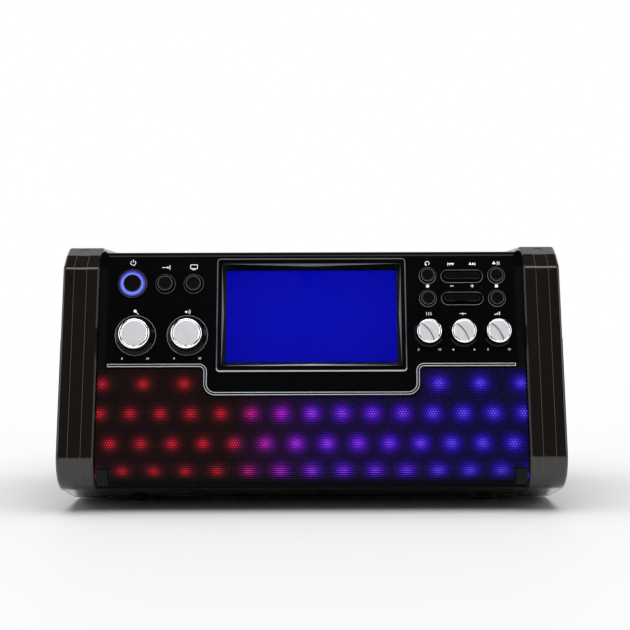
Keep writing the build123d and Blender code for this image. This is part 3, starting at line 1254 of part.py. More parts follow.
def disc_tray():
    """The well: a round bowl with finger scoops, an opening for the hub and a lens slot."""
    ledge_low = DECK_TOP - LEDGE_DROP - LEDGE_THICKNESS
    outside = lid_outline(TRAY_WALL - LEDGE)
    half = LID_HALF - LEDGE + TRAY_WALL
    back = span((-half, half), (HINGE_Y - BITE, HINGE_Y + TRAY_BEHIND), (tray_top - TRAY_PLATE, tray_top))
    tray = Pos(0, 0, tray_top - TRAY_PLATE) * extrude(outside, TRAY_PLATE) + back
    rim = outside - lid_outline(-LEDGE)
    rim = Pos(0, 0, tray_top - BITE) * extrude(rim, ledge_low - SEAT_GAP - tray_top + BITE)
    hinge_room = (HINGE_Y - 2 * BARREL_RADIUS, HINGE_Y + BITE)
    tray += rim - span((-LID_HALF, LID_HALF), hinge_room, (tray_top, DECK_TOP))
    tray += upright(BOWL_RADIUS + TRAY_WALL, well_under, tray_top, spindle)
    scoops = [from_spindle(side * (BOWL_RADIUS - 2), 0) for side in (-1, 1)]
    for place in scoops:
        tray += upright(SCOOP_RADIUS + TRAY_WALL, well_under, tray_top, place)
    for x, y in GROMMETS:
        under_bowl = sqrt(x * x + y * y) < BOWL_RADIUS
        top = (bowl_floor if under_bowl else tray_top) - TRAY_WALL / 2
        tray += upright(BOSS_RADIUS - 1, chassis_top + GROMMET_FLANGE, top, from_spindle(x, y))
    for place, radius in [(spindle, BOWL_RADIUS)] + [(place, SCOOP_RADIUS) for place in scoops]:
        tray -= upright(radius, bowl_floor, DECK_TOP, place)
    tray -= upright(HUB_OPENING, 0, DECK_TOP, spindle)
    slot = RectangleRounded(LENS_SLOT, LENS_SLOT_END + HUB_OPENING, LENS_SLOT_RADIUS)
    slot = Pos(spindle[0], spindle[1] - (LENS_SLOT_END - HUB_OPENING) / 2) * slot
    ahead = Pos(spindle[0], spindle[1] - LENS_SLOT_END) * Rectangle(2 * LENS_SLOT, 2 * LENS_SLOT_END)
    tray -= extrude(slot & ahead, DECK_TOP)
    for x, y in GROMMETS:
        tray -= upright(PILOT_RADIUS, 0, bowl_floor - FLOOR_THICKNESS_AT_BOSS, from_spindle(x, y))
    return tray


def chassis():
    """The plate that carries rods, motors and gear below the well."""
    (near, far), half = CHASSIS_REACH, CHASSIS_HALF
    y = spindle[1]
    plate_ = span((-half, half), (y + near, y + far), (chassis_low, chassis_top))
    width, length, height = POST
    for rod in (-ROD_X, ROD_X):
        for place in ROD_POSTS:
            plate_ += span(
                (rod - width / 2, rod + width / 2), (y + place - length / 2, y + place + length / 2),
                (chassis_top, chassis_top + height),
            )
    inside, behind, ahead = CHASSIS_WINDOW
    plate_ -= span((-inside, inside), (y + near + behind, y - ahead), (0, chassis_top))
    for rod in (-ROD_X, ROD_X):
        plate_ -= rod_y(ROD_RADIUS, y + near, y, rod, rod_level)
    plate_ -= upright(HUB_STEM, 0, chassis_top, spindle)
    plate_ -= upright(HUB_STEM - BITE, 0, chassis_top, pinion_place)
    for x, dy in GROMMETS:
        plate_ -= upright(GROMMET[1], 0, chassis_top, from_spindle(x, dy))
    return plate_ + upright(GEAR_PIN, chassis_low, wheel_top + GEAR_PIN_RISE, gear_place)


rack_pitch = pi * RACK_MODULE
pinion_radius = PINION_TEETH * RACK_MODULE / 2
wheel_radius = WHEEL_TEETH * WHEEL_MODULE / 2
motor_gear_radius = MOTOR_TEETH * WHEEL_MODULE / 2
sled_low = chassis_top + SLED_LIFT
sled_y = bowl_y - LENS_START
gear_place = (RACK_X + pinion_radius, sled_y - SLED_TRAVEL / 2)
pinion_place = (gear_place[0], gear_place[1] + wheel_radius + motor_gear_radius)
rack_top = sled_low + RACK_HEIGHT
wheel_low = rack_top + GEAR_GAP
wheel_top = wheel_low + WHEEL_THICKNESS


def involute(angle):
    """How far an involute has turned where its pressure angle is this."""
    return tan(angle) - angle


def gear_outline(teeth, module, phase=0.0):
    """A spur gear's outline, with a tooth centred on the X axis turned by the phase."""
    pitch = teeth * module / 2
    base = pitch * cos(PRESSURE_ANGLE)
    root, tip = pitch - DEDENDUM * module, pitch + ADDENDUM * module
    half_at_pitch = pi / teeth / 2 * (1 - BACKLASH)
    flank = []
    for radius in (root, pitch, tip):
        angle = acos(base / max(radius, base))
        flank.append((radius, half_at_pitch + involute(PRESSURE_ANGLE) - involute(angle)))
    points = []
    for tooth in range(teeth):
        middle = 2 * pi * tooth / teeth + phase
        for radius, half in flank:
            points.append((radius * cos(middle - half), radius * sin(middle - half)))
        for radius, half in reversed(flank):
            points.append((radius * cos(middle + half), radius * sin(middle + half)))
    return make_face(Polyline(*points, close=True))


def gear(teeth, module, low, high, phase=0.0):
    """A spur gear between two levels, centred on the Z axis."""
    return Pos(0, 0, low) * extrude(gear_outline(teeth, module, phase), high - low)


def rack():
    """The toothed bar on the sled's right side, with a gap facing the pinion at rest."""
    half_tooth = rack_pitch / 4 * (1 - BACKLASH)
    lean = tan(PRESSURE_ANGLE)
    root = RACK_X - DEDENDUM * RACK_MODULE
    tip = RACK_X + ADDENDUM * RACK_MODULE
    wide = half_tooth + (RACK_X - root) * lean
    slim = half_tooth - (tip - RACK_X) * lean
    shift = round((sled_y - gear_place[1]) / rack_pitch)
    first = gear_place[1] + (shift - RACK_TEETH / 2 + 0.5) * rack_pitch
    points = [(root - RACK_BACK, first - rack_pitch / 2), (root, first - rack_pitch / 2)]
    for tooth in range(RACK_TEETH):
        y = first + tooth * rack_pitch
        points += [(root, y - wide), (tip, y - slim), (tip, y + slim), (root, y + wide)]
    last = first + (RACK_TEETH - 0.5) * rack_pitch
    points += [(root, last), (root - RACK_BACK, last)]
    return Pos(0, 0, sled_low) * extrude(make_face(Polyline(*points, close=True)), RACK_HEIGHT)


def pickup_sled():
    """The laser sled with its lens, running on two rods."""
    width, length, height = SLED
    top = sled_low + height
    block = Pos(0, sled_y, sled_low + height / 2) * Box(width, length, height)
    block = chamfer(block.edges().filter_by(Axis.Z), 2)
    sled = block + upright(LENS[0], top - 1, top + LENS_RISE[0], (0, sled_y))
    sled += upright(LENS[1], top, top + LENS_RISE[1], (0, sled_y))
    web = (width / 2 - 1, RACK_X - DEDENDUM * RACK_MODULE - 1)
    sled += span(web, (sled_y - length / 2 + 2, sled_y + length / 2 - 2), (sled_low, rack_top)) + rack()
    for rod in (-ROD_X, ROD_X):
        sled -= rod_y(ROD_RADIUS + RUN_FIT, sled_y - length, sled_y + length, rod, rod_level)
    return sled


def sled_gear():
    """The stepped gear: a small pinion under a large wheel."""
    body = gear(PINION_TEETH, RACK_MODULE, sled_low, wheel_low)
    body += gear(WHEEL_TEETH, WHEEL_MODULE, wheel_low, wheel_top)
    return Pos(*gear_place) * (body - upright(GEAR_PIN + RUN_FIT, 0, CAP_TOP))


def shaft_end(size):
    """The level at which the shaft ends inside a motor of this size."""
    return chassis_low - size[1] + MOTOR_FLOOR + SHAFT_BOTTOM_GAP


def motor_pinion():
    """The motor's pinion and its shaft, with a gap facing the wheel at rest."""
    phase = -pi / 2 + pi / MOTOR_TEETH
    body = gear(MOTOR_TEETH, WHEEL_MODULE, wheel_low - GEAR_GAP, wheel_top + GEAR_GAP, phase)
    return Pos(*pinion_place) * (body + upright(MOTOR_SHAFT, shaft_end(SLED_MOTOR), wheel_top))


def motor(size, shaft, place):
    """A motor under the chassis, with a bore for its shaft."""
    radius, height = size
    can = upright(radius, chassis_low - height, chassis_low, place)
    can = chamfer(can.edges().group_by(Axis.Z)[0], MOTOR_BEVEL)
    return can - upright(shaft + RUN_FIT, chassis_low - height + MOTOR_FLOOR, chassis_low, place)


def spindle_hub():
    """The turntable with the boss that centres the disc, and its shaft."""
    (table, thick), (boss, rise) = TURNTABLE, HUB_BOSS
    top = disc_plane + rise
    low = shaft_end(SPINDLE_MOTOR)
    shoulder = chassis_top + HUB_STEM_RISE
    dimple, depth = HUB_DIMPLE
    return Pos(*spindle) * turned([
        (0, low), (SPINDLE_RADIUS, low), (SPINDLE_RADIUS, shoulder), (HUB_STEM, shoulder),
        (HUB_STEM, disc_plane - thick), (table, disc_plane - thick), (table, disc_plane), (boss, disc_plane),
        (boss, top - HUB_BEVEL), (boss - HUB_BEVEL, top), (dimple, top), (dimple, top - depth), (0, top - depth),
    ])


def grommets():
    """Four soft rings that hold the chassis to the well's posts."""
    (outer, neck), edge = GROMMET, GROMMET_FLANGE
    inner = PILOT_RADIUS + GROMMET_SLACK
    ring = turned([
        (inner, chassis_low - edge), (outer, chassis_low - edge), (outer, chassis_low),
        (neck, chassis_low), (neck, chassis_top), (outer, chassis_top), (outer, chassis_top + edge),
        (inner, chassis_top + edge),
    ])
    return [Pos(*from_spindle(x, y)) * ring for x, y in GROMMETS]


keep("disc_tray", disc_tray())
keep("mechanism_chassis", chassis())
keep("mechanism_grommets", *grommets())
keep("spindle_hub", spindle_hub())
keep("spindle_motor", motor(SPINDLE_MOTOR, SPINDLE_RADIUS, spindle))
keep("pickup_sled", pickup_sled())
keep("sled_rods", *[
    rod_y(ROD_RADIUS, bowl_y + ROD_POSTS[0] - POST[1] / 2, bowl_y + ROD_POSTS[1] + POST[1] / 2, x, rod_level)
    for x in (-ROD_X, ROD_X)
])
keep("sled_gear", sled_gear())
keep("sled_motor", motor(SLED_MOTOR, MOTOR_SHAFT, pinion_place))
keep("motor_pinion", motor_pinion())


# ================================================================ screws
screw = turned([
    (0, 0), (SCREW_HEAD[0], 0), (SCREW_HEAD[0], SCREW_HEAD[1]), (SCREW_SHANK[0], SCREW_HEAD[1]),
    (SCREW_SHANK[0], SCREW_HEAD[1] + SCREW_SHANK[1]), (0, SCREW_HEAD[1] + SCREW_SHANK[1]),
])
screws = [Pos(x, y, 2 - SCREW_HEAD[1]) * screw for x, y in FOOT_PLACES]
board_top = BOARD_LEVEL + BOARD_THICKNESS
screws += [
    Pos(BOARD_PLACE[0] + x, BOARD_PLACE[1] + y, board_top + SCREW_HEAD[1]) * Rot(180, 0, 0) * screw
    for x, y in BOARD_SCREWS
]
screws += [
    Pos(side * (CAP_INNER - SCREW_HEAD[1]), y, z) * Rot(0, side * 90, 0) * screw
    for side in (-1, 1) for y, z in CAP_BOSSES
]
keep("screws", *screws)
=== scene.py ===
# %% [markdown]
# # A desktop karaoke machine
# The machine is a black box with a sloping front between two gloss end caps.  The packed
# model already holds every rigid piece at its real size.  This script gives each piece the
# finish of the real one, and models what a solid model leaves out: the perforated sheet,
# the cloth behind it, the marks on the control panel and the picture on the display.

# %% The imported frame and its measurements
import json
from math import asin, atan2, cos, degrees, pi, radians, sin, sqrt

import bmesh
import bpy
from mathutils import Matrix, Vector


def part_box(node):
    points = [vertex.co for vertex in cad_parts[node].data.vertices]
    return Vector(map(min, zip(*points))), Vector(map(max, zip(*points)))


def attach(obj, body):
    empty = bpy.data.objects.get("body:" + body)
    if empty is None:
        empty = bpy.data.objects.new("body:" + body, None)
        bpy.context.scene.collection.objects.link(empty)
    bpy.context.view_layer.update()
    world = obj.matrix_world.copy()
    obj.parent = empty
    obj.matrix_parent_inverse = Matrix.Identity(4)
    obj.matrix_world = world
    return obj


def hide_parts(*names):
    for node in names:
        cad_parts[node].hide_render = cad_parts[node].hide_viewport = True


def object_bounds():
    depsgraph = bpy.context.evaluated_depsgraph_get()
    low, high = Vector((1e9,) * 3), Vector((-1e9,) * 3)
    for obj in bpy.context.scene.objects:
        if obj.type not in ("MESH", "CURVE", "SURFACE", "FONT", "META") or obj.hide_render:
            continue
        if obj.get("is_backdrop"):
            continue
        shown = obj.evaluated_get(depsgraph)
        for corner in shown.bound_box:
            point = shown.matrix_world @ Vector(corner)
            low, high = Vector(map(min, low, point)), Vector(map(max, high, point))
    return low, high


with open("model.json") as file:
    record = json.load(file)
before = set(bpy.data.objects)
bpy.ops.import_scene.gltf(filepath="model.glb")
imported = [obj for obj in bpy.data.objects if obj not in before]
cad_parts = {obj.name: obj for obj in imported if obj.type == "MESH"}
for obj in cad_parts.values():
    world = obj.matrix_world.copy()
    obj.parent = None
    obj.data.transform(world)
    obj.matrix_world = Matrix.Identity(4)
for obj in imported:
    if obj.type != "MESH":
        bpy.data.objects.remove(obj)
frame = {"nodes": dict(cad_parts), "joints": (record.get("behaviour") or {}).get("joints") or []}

nodes = frame["nodes"]
HOUSING = "housing"
MM = 0.001
cad_box = [list(corner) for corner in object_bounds()]

# %% [markdown]
# ## The sloping face
# Almost everything one looks at lies on one plane that leans back.  Working in that plane's
# own coordinates, across and up the slope, keeps every later step simple: a mark or a hole
# gets a flat position, and one matrix carries it to its place on the machine.

# %% The face plane, worked out from a knob's joint
joints = {joint["name"]: joint for joint in frame["joints"]}
OUTWARD = Vector(joints["echo_turn"]["axis"]).normalized()
ACROSS = Vector((1, 0, 0))
UPSLOPE = OUTWARD.cross(ACROSS)
# The knobs' joints lie on the panel's front, so one of them fixes the plane's depth.
FACE_ORIGIN = OUTWARD * Vector(joints["echo_turn"]["pos_m"]).dot(OUTWARD)


def face_matrix(x, up, out=0.0):
    """Carries flat work to the face: across, up the slope and out of the panel, in metres."""
    place = FACE_ORIGIN + ACROSS * x + UPSLOPE * up + OUTWARD * out
    return Matrix.Translation(place) @ Matrix((ACROSS, UPSLOPE, OUTWARD)).transposed().to_4x4()


def on_face(point):
    """The face coordinates of a point: across, up the slope and out of the panel."""
    offset = Vector(point) - FACE_ORIGIN
    return Vector((offset.dot(ACROSS), offset.dot(UPSLOPE), offset.dot(OUTWARD)))


print("face leans back", round(degrees(asin(OUTWARD.z)), 2), "degrees")

# %% [markdown]
# ## The camera
# The machine is seen straight on, from a little above its middle and from close enough that
# the front knee looks wider than the top.  A real camera with a 74 mm lens gives this.

# %% Camera
LENS = 74.3
SENSOR = 36.0
EYE_DISTANCE = 0.821       # from the front of the machine
EYE_HEIGHT = 0.126
EYE_SIDE = 0.0023
EYE_TURN = 0.18            # degrees to the left

camera_data = bpy.data.cameras.new("front_camera")
camera_data.lens = LENS
camera_data.sensor_width = SENSOR
camera = bpy.data.objects.new("front_camera", camera_data)
bpy.context.scene.collection.objects.link(camera)
camera.location = (EYE_SIDE, cad_box[0][1] - EYE_DISTANCE, EYE_HEIGHT)
camera.rotation_euler = (radians(90), radians(EYE_TURN), 0)
bpy.context.scene.camera = camera
bpy.context.scene.view_settings.view_transform = "Standard"
print("camera at", [round(v, 3) for v in camera.location])

# %% [markdown]
# ## Small helpers
# A material is a little graph of nodes.  One function adds a node with its settings and
# links, so each recipe below reads from the real pattern to the finished shader.

# %% Colour and node helpers
def colour(hex_code):
    """An sRGB colour such as '1c1a16' as the linear values that shaders use."""
    channels = [int(hex_code[i:i + 2], 16) / 255 for i in (0, 2, 4)]
    linear = [c / 12.92 if c <= 0.04045 else ((c + 0.055) / 1.055) ** 2.4 for c in channels]
    return (*linear, 1.0)


def add(tree, kind, links=None, **settings):
    """Adds one node: settings are its properties, links its inputs by name or number."""
    made = tree.nodes.new(kind)
    for key, value in settings.items():
        setattr(made, key, value)
    for key, value in (links or {}).items():
        if isinstance(value, bpy.types.NodeSocket):
            tree.links.new(value, made.inputs[key])
        else:
            made.inputs[key].default_value = value
    return made


def new_material(name):
    """An empty node material and its tree."""
    made = bpy.data.materials.new(name)
    made.use_nodes = True
    made.node_tree.nodes.clear()
    return made, made.node_tree


def finish_with(tree, shader):
    """Links a shader to the material's output."""
    add(tree, "ShaderNodeOutputMaterial", {"Surface": shader})


def object_from(name, bm, material, body=HOUSING):
    """Makes a finished mesh into an object that moves with a body."""
    mesh = bpy.data.meshes.new(name)
    bm.to_mesh(mesh)
    bm.free()
    made = bpy.data.objects.new(name, mesh)
    bpy.context.scene.collection.objects.link(made)
    mesh.materials.append(material)
    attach(made, body)
    return made


def wear(material, *names):
    """Gives CAD nodes their material."""
    for name in names:
        mesh = nodes[name].data
        mesh.materials.clear()
        mesh.materials.append(material)


print("middle grey in linear light", round(colour("808080")[0], 3))

# %% [markdown]
# ## Floor and light
# A product like this is lit on a white sweep with large soft lamps above and at the sides.
# The world could be one plain white, but a studio is dark behind the camera and pale behind
# the machine, and that is what shapes black plastic.  So scattered light follows that
# gradient, while the camera, mirrors and clear pieces see the white sweep.  Black flags
# stand behind the camera and hang overhead, as in any product studio, to keep the polished
# front deep black.

# %% Surroundings
world = bpy.data.worlds.new("studio")
bpy.context.scene.world = world
world.use_nodes = True
tree = world.node_tree
tree.nodes.clear()
rays = add(tree, "ShaderNodeLightPath")
direction = add(tree, "ShaderNodeTexCoord")
parts = add(tree, "ShaderNodeSeparateXYZ", {0: direction.outputs["Generated"]})
STUDIO_DARK = "060606"
STUDIO_SIDE = "d8d8d8"
DARK_TO_PALE = (-0.55, 0.15)   # where the room turns pale
front_to_back = add(tree, "ShaderNodeMapRange", {
    "Value": parts.outputs["Y"], "From Min": DARK_TO_PALE[0], "From Max": DARK_TO_PALE[1],
}, interpolation_type="SMOOTHSTEP")
room = add(tree, "ShaderNodeMix", {
    0: front_to_back.outputs[0], 6: colour(STUDIO_DARK), 7: colour(STUDIO_SIDE),
}, data_type="RGBA")
mirrored = add(tree, "ShaderNodeMath", {
    0: rays.outputs["Is Glossy Ray"], 1: rays.outputs["Is Transmission Ray"],
}, operation="MAXIMUM")
direct = add(tree, "ShaderNodeMath", {
    0: rays.outputs["Is Camera Ray"], 1: mirrored.outputs[0],
}, operation="MAXIMUM")
seen_white = add(tree, "ShaderNodeMix", {
    0: direct.outputs[0], 6: room.outputs[2], 7: (1, 1, 1, 1),
}, data_type="RGBA")
background = add(tree, "ShaderNodeBackground", {
    "Color": seen_white.outputs[2], "Strength": 1.0,
})
add(tree, "ShaderNodeOutputWorld", {"Surface": background.outputs[0]})
print("room from", STUDIO_DARK, "to", STUDIO_SIDE)

# %% Soft lamps
def softbox(name, place, target, size, power):
    """A rectangular lamp that faces a target."""
    lamp = bpy.data.lights.new(name, "AREA")
    lamp.shape = "RECTANGLE"
    lamp.size, lamp.size_y = size
    lamp.energy = power
    made = bpy.data.objects.new(name, lamp)
    made.location = place
    made.rotation_euler = (Vector(target) - Vector(place)).to_track_quat("-Z", "Y").to_euler()
    bpy.context.scene.collection.objects.link(made)
    return made


LAMPS = {                    # place, target, size in metres, power in watts
    "top_softbox": ((0, -0.15, 1.25), (0, 0, 0.05), (1.6, 1.2), 20),
    "high_front_softbox": ((0, -1.0, 1.35), (0, 0, 0.1), (1.3, 0.6), 12),
    "left_softbox": ((-1.3, -0.7, 0.6), (0, 0, 0.08), (0.5, 1.0), 5),
    "right_softbox": ((1.3, -0.7, 0.6), (0, 0, 0.08), (0.5, 1.0), 5),
}
lamps = {name: softbox(name, *settings) for name, settings in LAMPS.items()}
lamps["top_softbox"].visible_glossy = False   # the polished caps would mirror it
print("lamps", ", ".join(lamps))

# %% Floor and black flags
def sheet_of_paper(name, size, place, turn, hex_code, roughness):
    """A large flat sheet that belongs to the studio and not to the machine."""
    mesh = bpy.data.meshes.new(name)
    bm = bmesh.new()
    bmesh.ops.create_grid(bm, x_segments=1, y_segments=1, size=0.5)
    bmesh.ops.scale(bm, vec=(size[0], size[1], 1), verts=bm.verts)
    stand = Matrix.Translation(place) @ Matrix.Rotation(turn, 4, "X")
    bmesh.ops.transform(bm, matrix=stand, verts=bm.verts)
    bm.to_mesh(mesh)
    bm.free()
    made = bpy.data.objects.new(name, mesh)
    bpy.context.scene.collection.objects.link(made)
    finish, tree = new_material(name + "_paper")
    paper = add(tree, "ShaderNodeBsdfPrincipled", {
        "Base Color": colour(hex_code), "Roughness": roughness,
    })
    finish_with(tree, paper.outputs[0])
    mesh.materials.append(finish)
    made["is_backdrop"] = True
    return made


floor = sheet_of_paper("floor", (12, 12), (0, 0, 0), 0, "f7f7f7", 0.6)
floor.is_shadow_catcher = True
FLAGS = {                    # width and depth, place, turn about the width
    "front_black_flag": ((5.0, 2.7), (0, -1.75, 1.36), radians(90)),
    "ceiling_black_flag": ((3.2, 2.2), (0, -0.6, 1.5), 0),
}
for name, (size, place, turn) in FLAGS.items():
    flag = sheet_of_paper(name, size, place, turn, "050505", 0.9)
    flag.visible_camera = False
    flag.visible_shadow = False
    flag.visible_diffuse = False
print("studio sheets", 1 + len(FLAGS))

# %% [markdown]
# ## Moulded plastics
# Nearly the whole machine is ABS.  The caps, the panel and the lid come from polished
# moulds: a hard, deep black whose surface still waves a little where the plastic shrank.
# The deck, the back and the frame come from etched moulds, which leave a fine matt grain.
# Both are one recipe, a Principled shader with a noise for the grain, so one function makes
# them from the size and depth of that grain in millimetres.

# %% Moulded plastic recipe
NOISE_LOW, NOISE_HIGH = 0.3, 0.7   # nearly all of a noise's values lie between these
SMOOTHEST = 0.02
HANDLED_MM = 38              # the size of the patches where the polish differs
ABS_IOR = 1.53


def polish_round(tree, noise, roughness, uneven):
    """A roughness that follows a noise up and down round its mean."""
    return add(tree, "ShaderNodeMapRange", {
        "Value": noise.outputs["Fac"], "From Min": NOISE_LOW, "From Max": NOISE_HIGH,
        "To Min": max(roughness - uneven, SMOOTHEST), "To Max": roughness + uneven,
    }).outputs[0]


def moulded(name, hex_code, roughness, grain_mm, grain_depth_mm, uneven=0.04, mirror=0.5):
    """Moulded plastic with a grain of a real size, and a slightly uneven polish."""
    made, tree = new_material(name)
    place = add(tree, "ShaderNodeTexCoord").outputs["Object"]
    grain = add(tree, "ShaderNodeTexNoise", {
        "Vector": place, "Scale": 1 / (grain_mm * MM), "Detail": 3.0, "Roughness": 0.55,
    })
    relief = add(tree, "ShaderNodeBump", {
        "Height": grain.outputs["Fac"], "Strength": 1.0, "Distance": grain_depth_mm * MM,
    })
    handling = add(tree, "ShaderNodeTexNoise", {
        "Vector": place, "Scale": 1 / (HANDLED_MM * MM), "Detail": 4.0,
    })
    shader = add(tree, "ShaderNodeBsdfPrincipled", {
        "Base Color": colour(hex_code), "IOR": ABS_IOR, "Specular IOR Level": mirror,
        "Roughness": polish_round(tree, handling, roughness, uneven), "Normal": relief.outputs[0],
    })
    finish_with(tree, shader.outputs[0])
    return made


gloss_cap = moulded("polished_moulded_abs", "13100e", 0.13, 14.0, 0.02, mirror=0.4)
gloss_panel = moulded(
    "piano_black_moulded_abs", "060607", 0.08, 22.0, 0.015, uneven=0.02, mirror=0.08,
)
etched_body = moulded("etched_moulded_abs", "151514", 0.5, 0.7, 0.05, mirror=0.15)
plain_inside = moulded("unpolished_moulded_abs", "101010", 0.6, 1.2, 0.03, mirror=0.2)
gloss_button = moulded(
    "polished_key_abs", "0a0a0b", 0.14, 6.0, 0.005, uneven=0.02, mirror=0.15,
)
soft_rubber = moulded("moulded_rubber", "141413", 0.8, 0.9, 0.06)
socket_plastic = moulded("moulded_nylon", "0c0c0c", 0.45, 1.0, 0.02)
acetal = moulded("moulded_acetal", "e4e0d4", 0.35, 3.0, 0.01)
wear(gloss_cap, "end_cap_left", "end_cap_right", "cap_inlays", "disc_lid", "base_tub")
wear(gloss_panel, "fascia", "front_frame")
wear(etched_body, "top_deck", "rear_cover", "disc_tray")
wear(soft_rubber, "feet", "tablet_pad", "mechanism_grommets")
wear(plain_inside, "pickup_sled", "spindle_hub")
wear(socket_plastic, "mic_jacks", "rca_jacks", "dc_jack")
wear(acetal, "sled_gear", "motor_pinion")
BUTTONS = [name for name in nodes if name.endswith("_button") or name.endswith("_key")]
wear(gloss_button, *BUTTONS)
print("buttons", len(BUTTONS))

# %% [markdown]
# ## Metals
# The knobs' faces are plated plastic: chrome over a polished moulding, bright and almost
# without grain.  The pins, rods and screws are ground steel, and the motors, the chassis
# and the sockets' sleeves are stamped and plated sheet.

# %% Metal recipe
def metal(name, hex_code, roughness, grain_mm, uneven=0.03, stretch=(1, 1, 1)):
    """A metal whose roughness follows its polishing or rolling marks."""
    made, tree = new_material(name)
    place = add(tree, "ShaderNodeTexCoord").outputs["Object"]
    along = add(tree, "ShaderNodeMapping", {"Vector": place, "Scale": stretch})
    marks = add(tree, "ShaderNodeTexNoise", {
        "Vector": along.outputs[0], "Scale": 1 / (grain_mm * MM), "Detail": 5.0,
    })
    shader = add(tree, "ShaderNodeBsdfPrincipled", {
        "Base Color": colour(hex_code), "Metallic": 1.0,
        "Roughness": polish_round(tree, marks, roughness, uneven),
    })
    finish_with(tree, shader.outputs[0])
    return made


chrome = metal("chrome_plating", "f0f1f2", 0.2, 6.0)
satin_chrome = metal("satin_chrome_plating", "e6e7ea", 0.48, 4.0)
ground_steel = metal("ground_steel", "b9babd", 0.25, 0.6, stretch=(1, 0.08, 1))
zinc_sheet = metal("zinc_plated_sheet_steel", "a9abab", 0.35, 3.0)
KNOBS = ("mic_volume", "master_volume", "echo", "balance", "avc")
FLAT_TOP = 0.9999            # a face that looks this squarely outward is a cap's flat top
for name in KNOBS:
    wear(chrome, f"{name}_cap")
    cap_mesh = nodes[f"{name}_cap"].data
    cap_mesh.materials.append(satin_chrome)
    for face in cap_mesh.polygons:
        if face.normal.dot(OUTWARD) > FLAT_TOP:
            face.material_index = 1
wear(ground_steel, "lid_hinge_pins", "sled_rods", "screws")
wear(zinc_sheet, "mechanism_chassis", "spindle_motor", "sled_motor")
wear(zinc_sheet, "usb_port", "potentiometers", "speaker_drivers")
wear(gloss_panel, *[f"{name}_knob" for name in KNOBS])
print("knobs", len(KNOBS))

# %% [markdown]
# ## Outline of the inlay strips
# Each cap carries a flush strip, and only the fine joint round it shows.  The joint's rim
# catches light as a thin line.  A bump would be lost at this size, so that highlight is painted:
# a thin grey rod laid along the strip's outer edges, half sunk in the surface.

# %% Painted highlight on the rim of the inlay strips
RIM_RADIUS = 0.16 * MM
SHARP = radians(50)
WELD = 0.005 * MM            # corners closer than this are one
SIDEWAYS = 0.5               # a strip's broad faces look less sideways than this
OUTER_SIDE = 20 * MM         # and its outer ones lie further than this from the middle
SHORTEST = 0.05 * MM
# painted highlight: a grey rod, lighter than the black cap, stands for the light on the joint's rim
joint_highlight_paint = moulded("painted_joint_highlight", "48443f", 0.35, 2.0, 0.0, mirror=0.3)
inlay = bmesh.new()
inlay.from_mesh(nodes["cap_inlays"].data)
inlay.transform(nodes["cap_inlays"].matrix_world)
bmesh.ops.remove_doubles(inlay, verts=inlay.verts, dist=WELD)
heart = (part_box("cap_inlays")[0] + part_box("cap_inlays")[1]) / 2
bm = bmesh.new()
rods = 0
for edge in inlay.edges:
    if len(edge.link_faces) != 2 or edge.calc_face_angle(0) < SHARP:
        continue
    broad = [face for face in edge.link_faces if abs(face.normal.x) < SIDEWAYS]
    middle = (edge.verts[0].co + edge.verts[1].co) / 2
    from_heart = (middle - heart) * Vector((0, 1, 1))
    outer = max((face.normal.dot(from_heart) for face in broad), default=0)
    run = edge.verts[1].co - edge.verts[0].co
    if outer < OUTER_SIDE or run.length < SHORTEST:
        continue
    place = Matrix.Translation(middle) @ run.to_track_quat("Z", "Y").to_matrix().to_4x4()
    bmesh.ops.create_cone(
        bm, cap_ends=True, segments=6, radius1=RIM_RADIUS, radius2=RIM_RADIUS,
        depth=run.length + RIM_RADIUS, matrix=place,
    )
    rods += 1
inlay.free()
object_from("inlay_rim_highlights", bm, joint_highlight_paint)
print("rim rods", rods)

# %% [markdown]
# ## Circuit boards, paper and glass
# Boards are glass-fibre laminate under green lacquer, with a faint weave.  The cones are
# black pressed paper.  The window is clear acrylic, which shows both the picture behind it
# and the room in front.

# %% Laminate, paper and window
board, tree = new_material("lacquered_glass_fibre")
place = add(tree, "ShaderNodeTexCoord").outputs["Object"]
THREAD_MM = 0.6              # one thread, which is half a wave of the pattern
HALF_WAVES = 6.28            # how many half waves, roughly, fit in a wave texture's unit
weave = add(tree, "ShaderNodeTexWave", {
    "Vector": place, "Scale": 1 / (THREAD_MM * MM) / HALF_WAVES, "Distortion": 0.5,
})
lacquer = add(tree, "ShaderNodeMix", {
    0: weave.outputs["Fac"], 6: colour("0d3a22"), 7: colour("125030"),
}, data_type="RGBA")
laminate = add(tree, "ShaderNodeBsdfPrincipled", {
    "Base Color": lacquer.outputs[2], "Roughness": 0.3,
})
finish_with(tree, laminate.outputs[0])
wear(board, "main_board", "control_boards")
dark_board = moulded("black_lacquered_laminate", "0c0c0d", 0.35, 1.0, 0.01)
wear(dark_board, "led_strips")

cone_paper = moulded("pressed_paper_pulp", "161616", 0.85, 0.8, 0.08)
wear(cone_paper, "speaker_cones")

window, tree = new_material("clear_acrylic")
clear = add(tree, "ShaderNodeBsdfPrincipled", {
    "Base Color": colour("f4f6ff"), "Roughness": 0.02, "IOR": 1.49, "Transmission Weight": 1.0,
    "Specular IOR Level": 0.08,
})
finish_with(tree, clear.outputs[0])
wear(window, "screen_window")

# %% [markdown]
# ## The perforated sheet
# The front is a steel sheet punched with hexagonal holes close together, so that the lamps
# and the loudspeakers behind it show and sound through.  It is made flat and then rolled
# round the knee, as the real sheet is, so the pattern stays regular all the way under.  The
# lattice grows by doubling: a cell, a row, then the whole sheet, before it is trimmed.

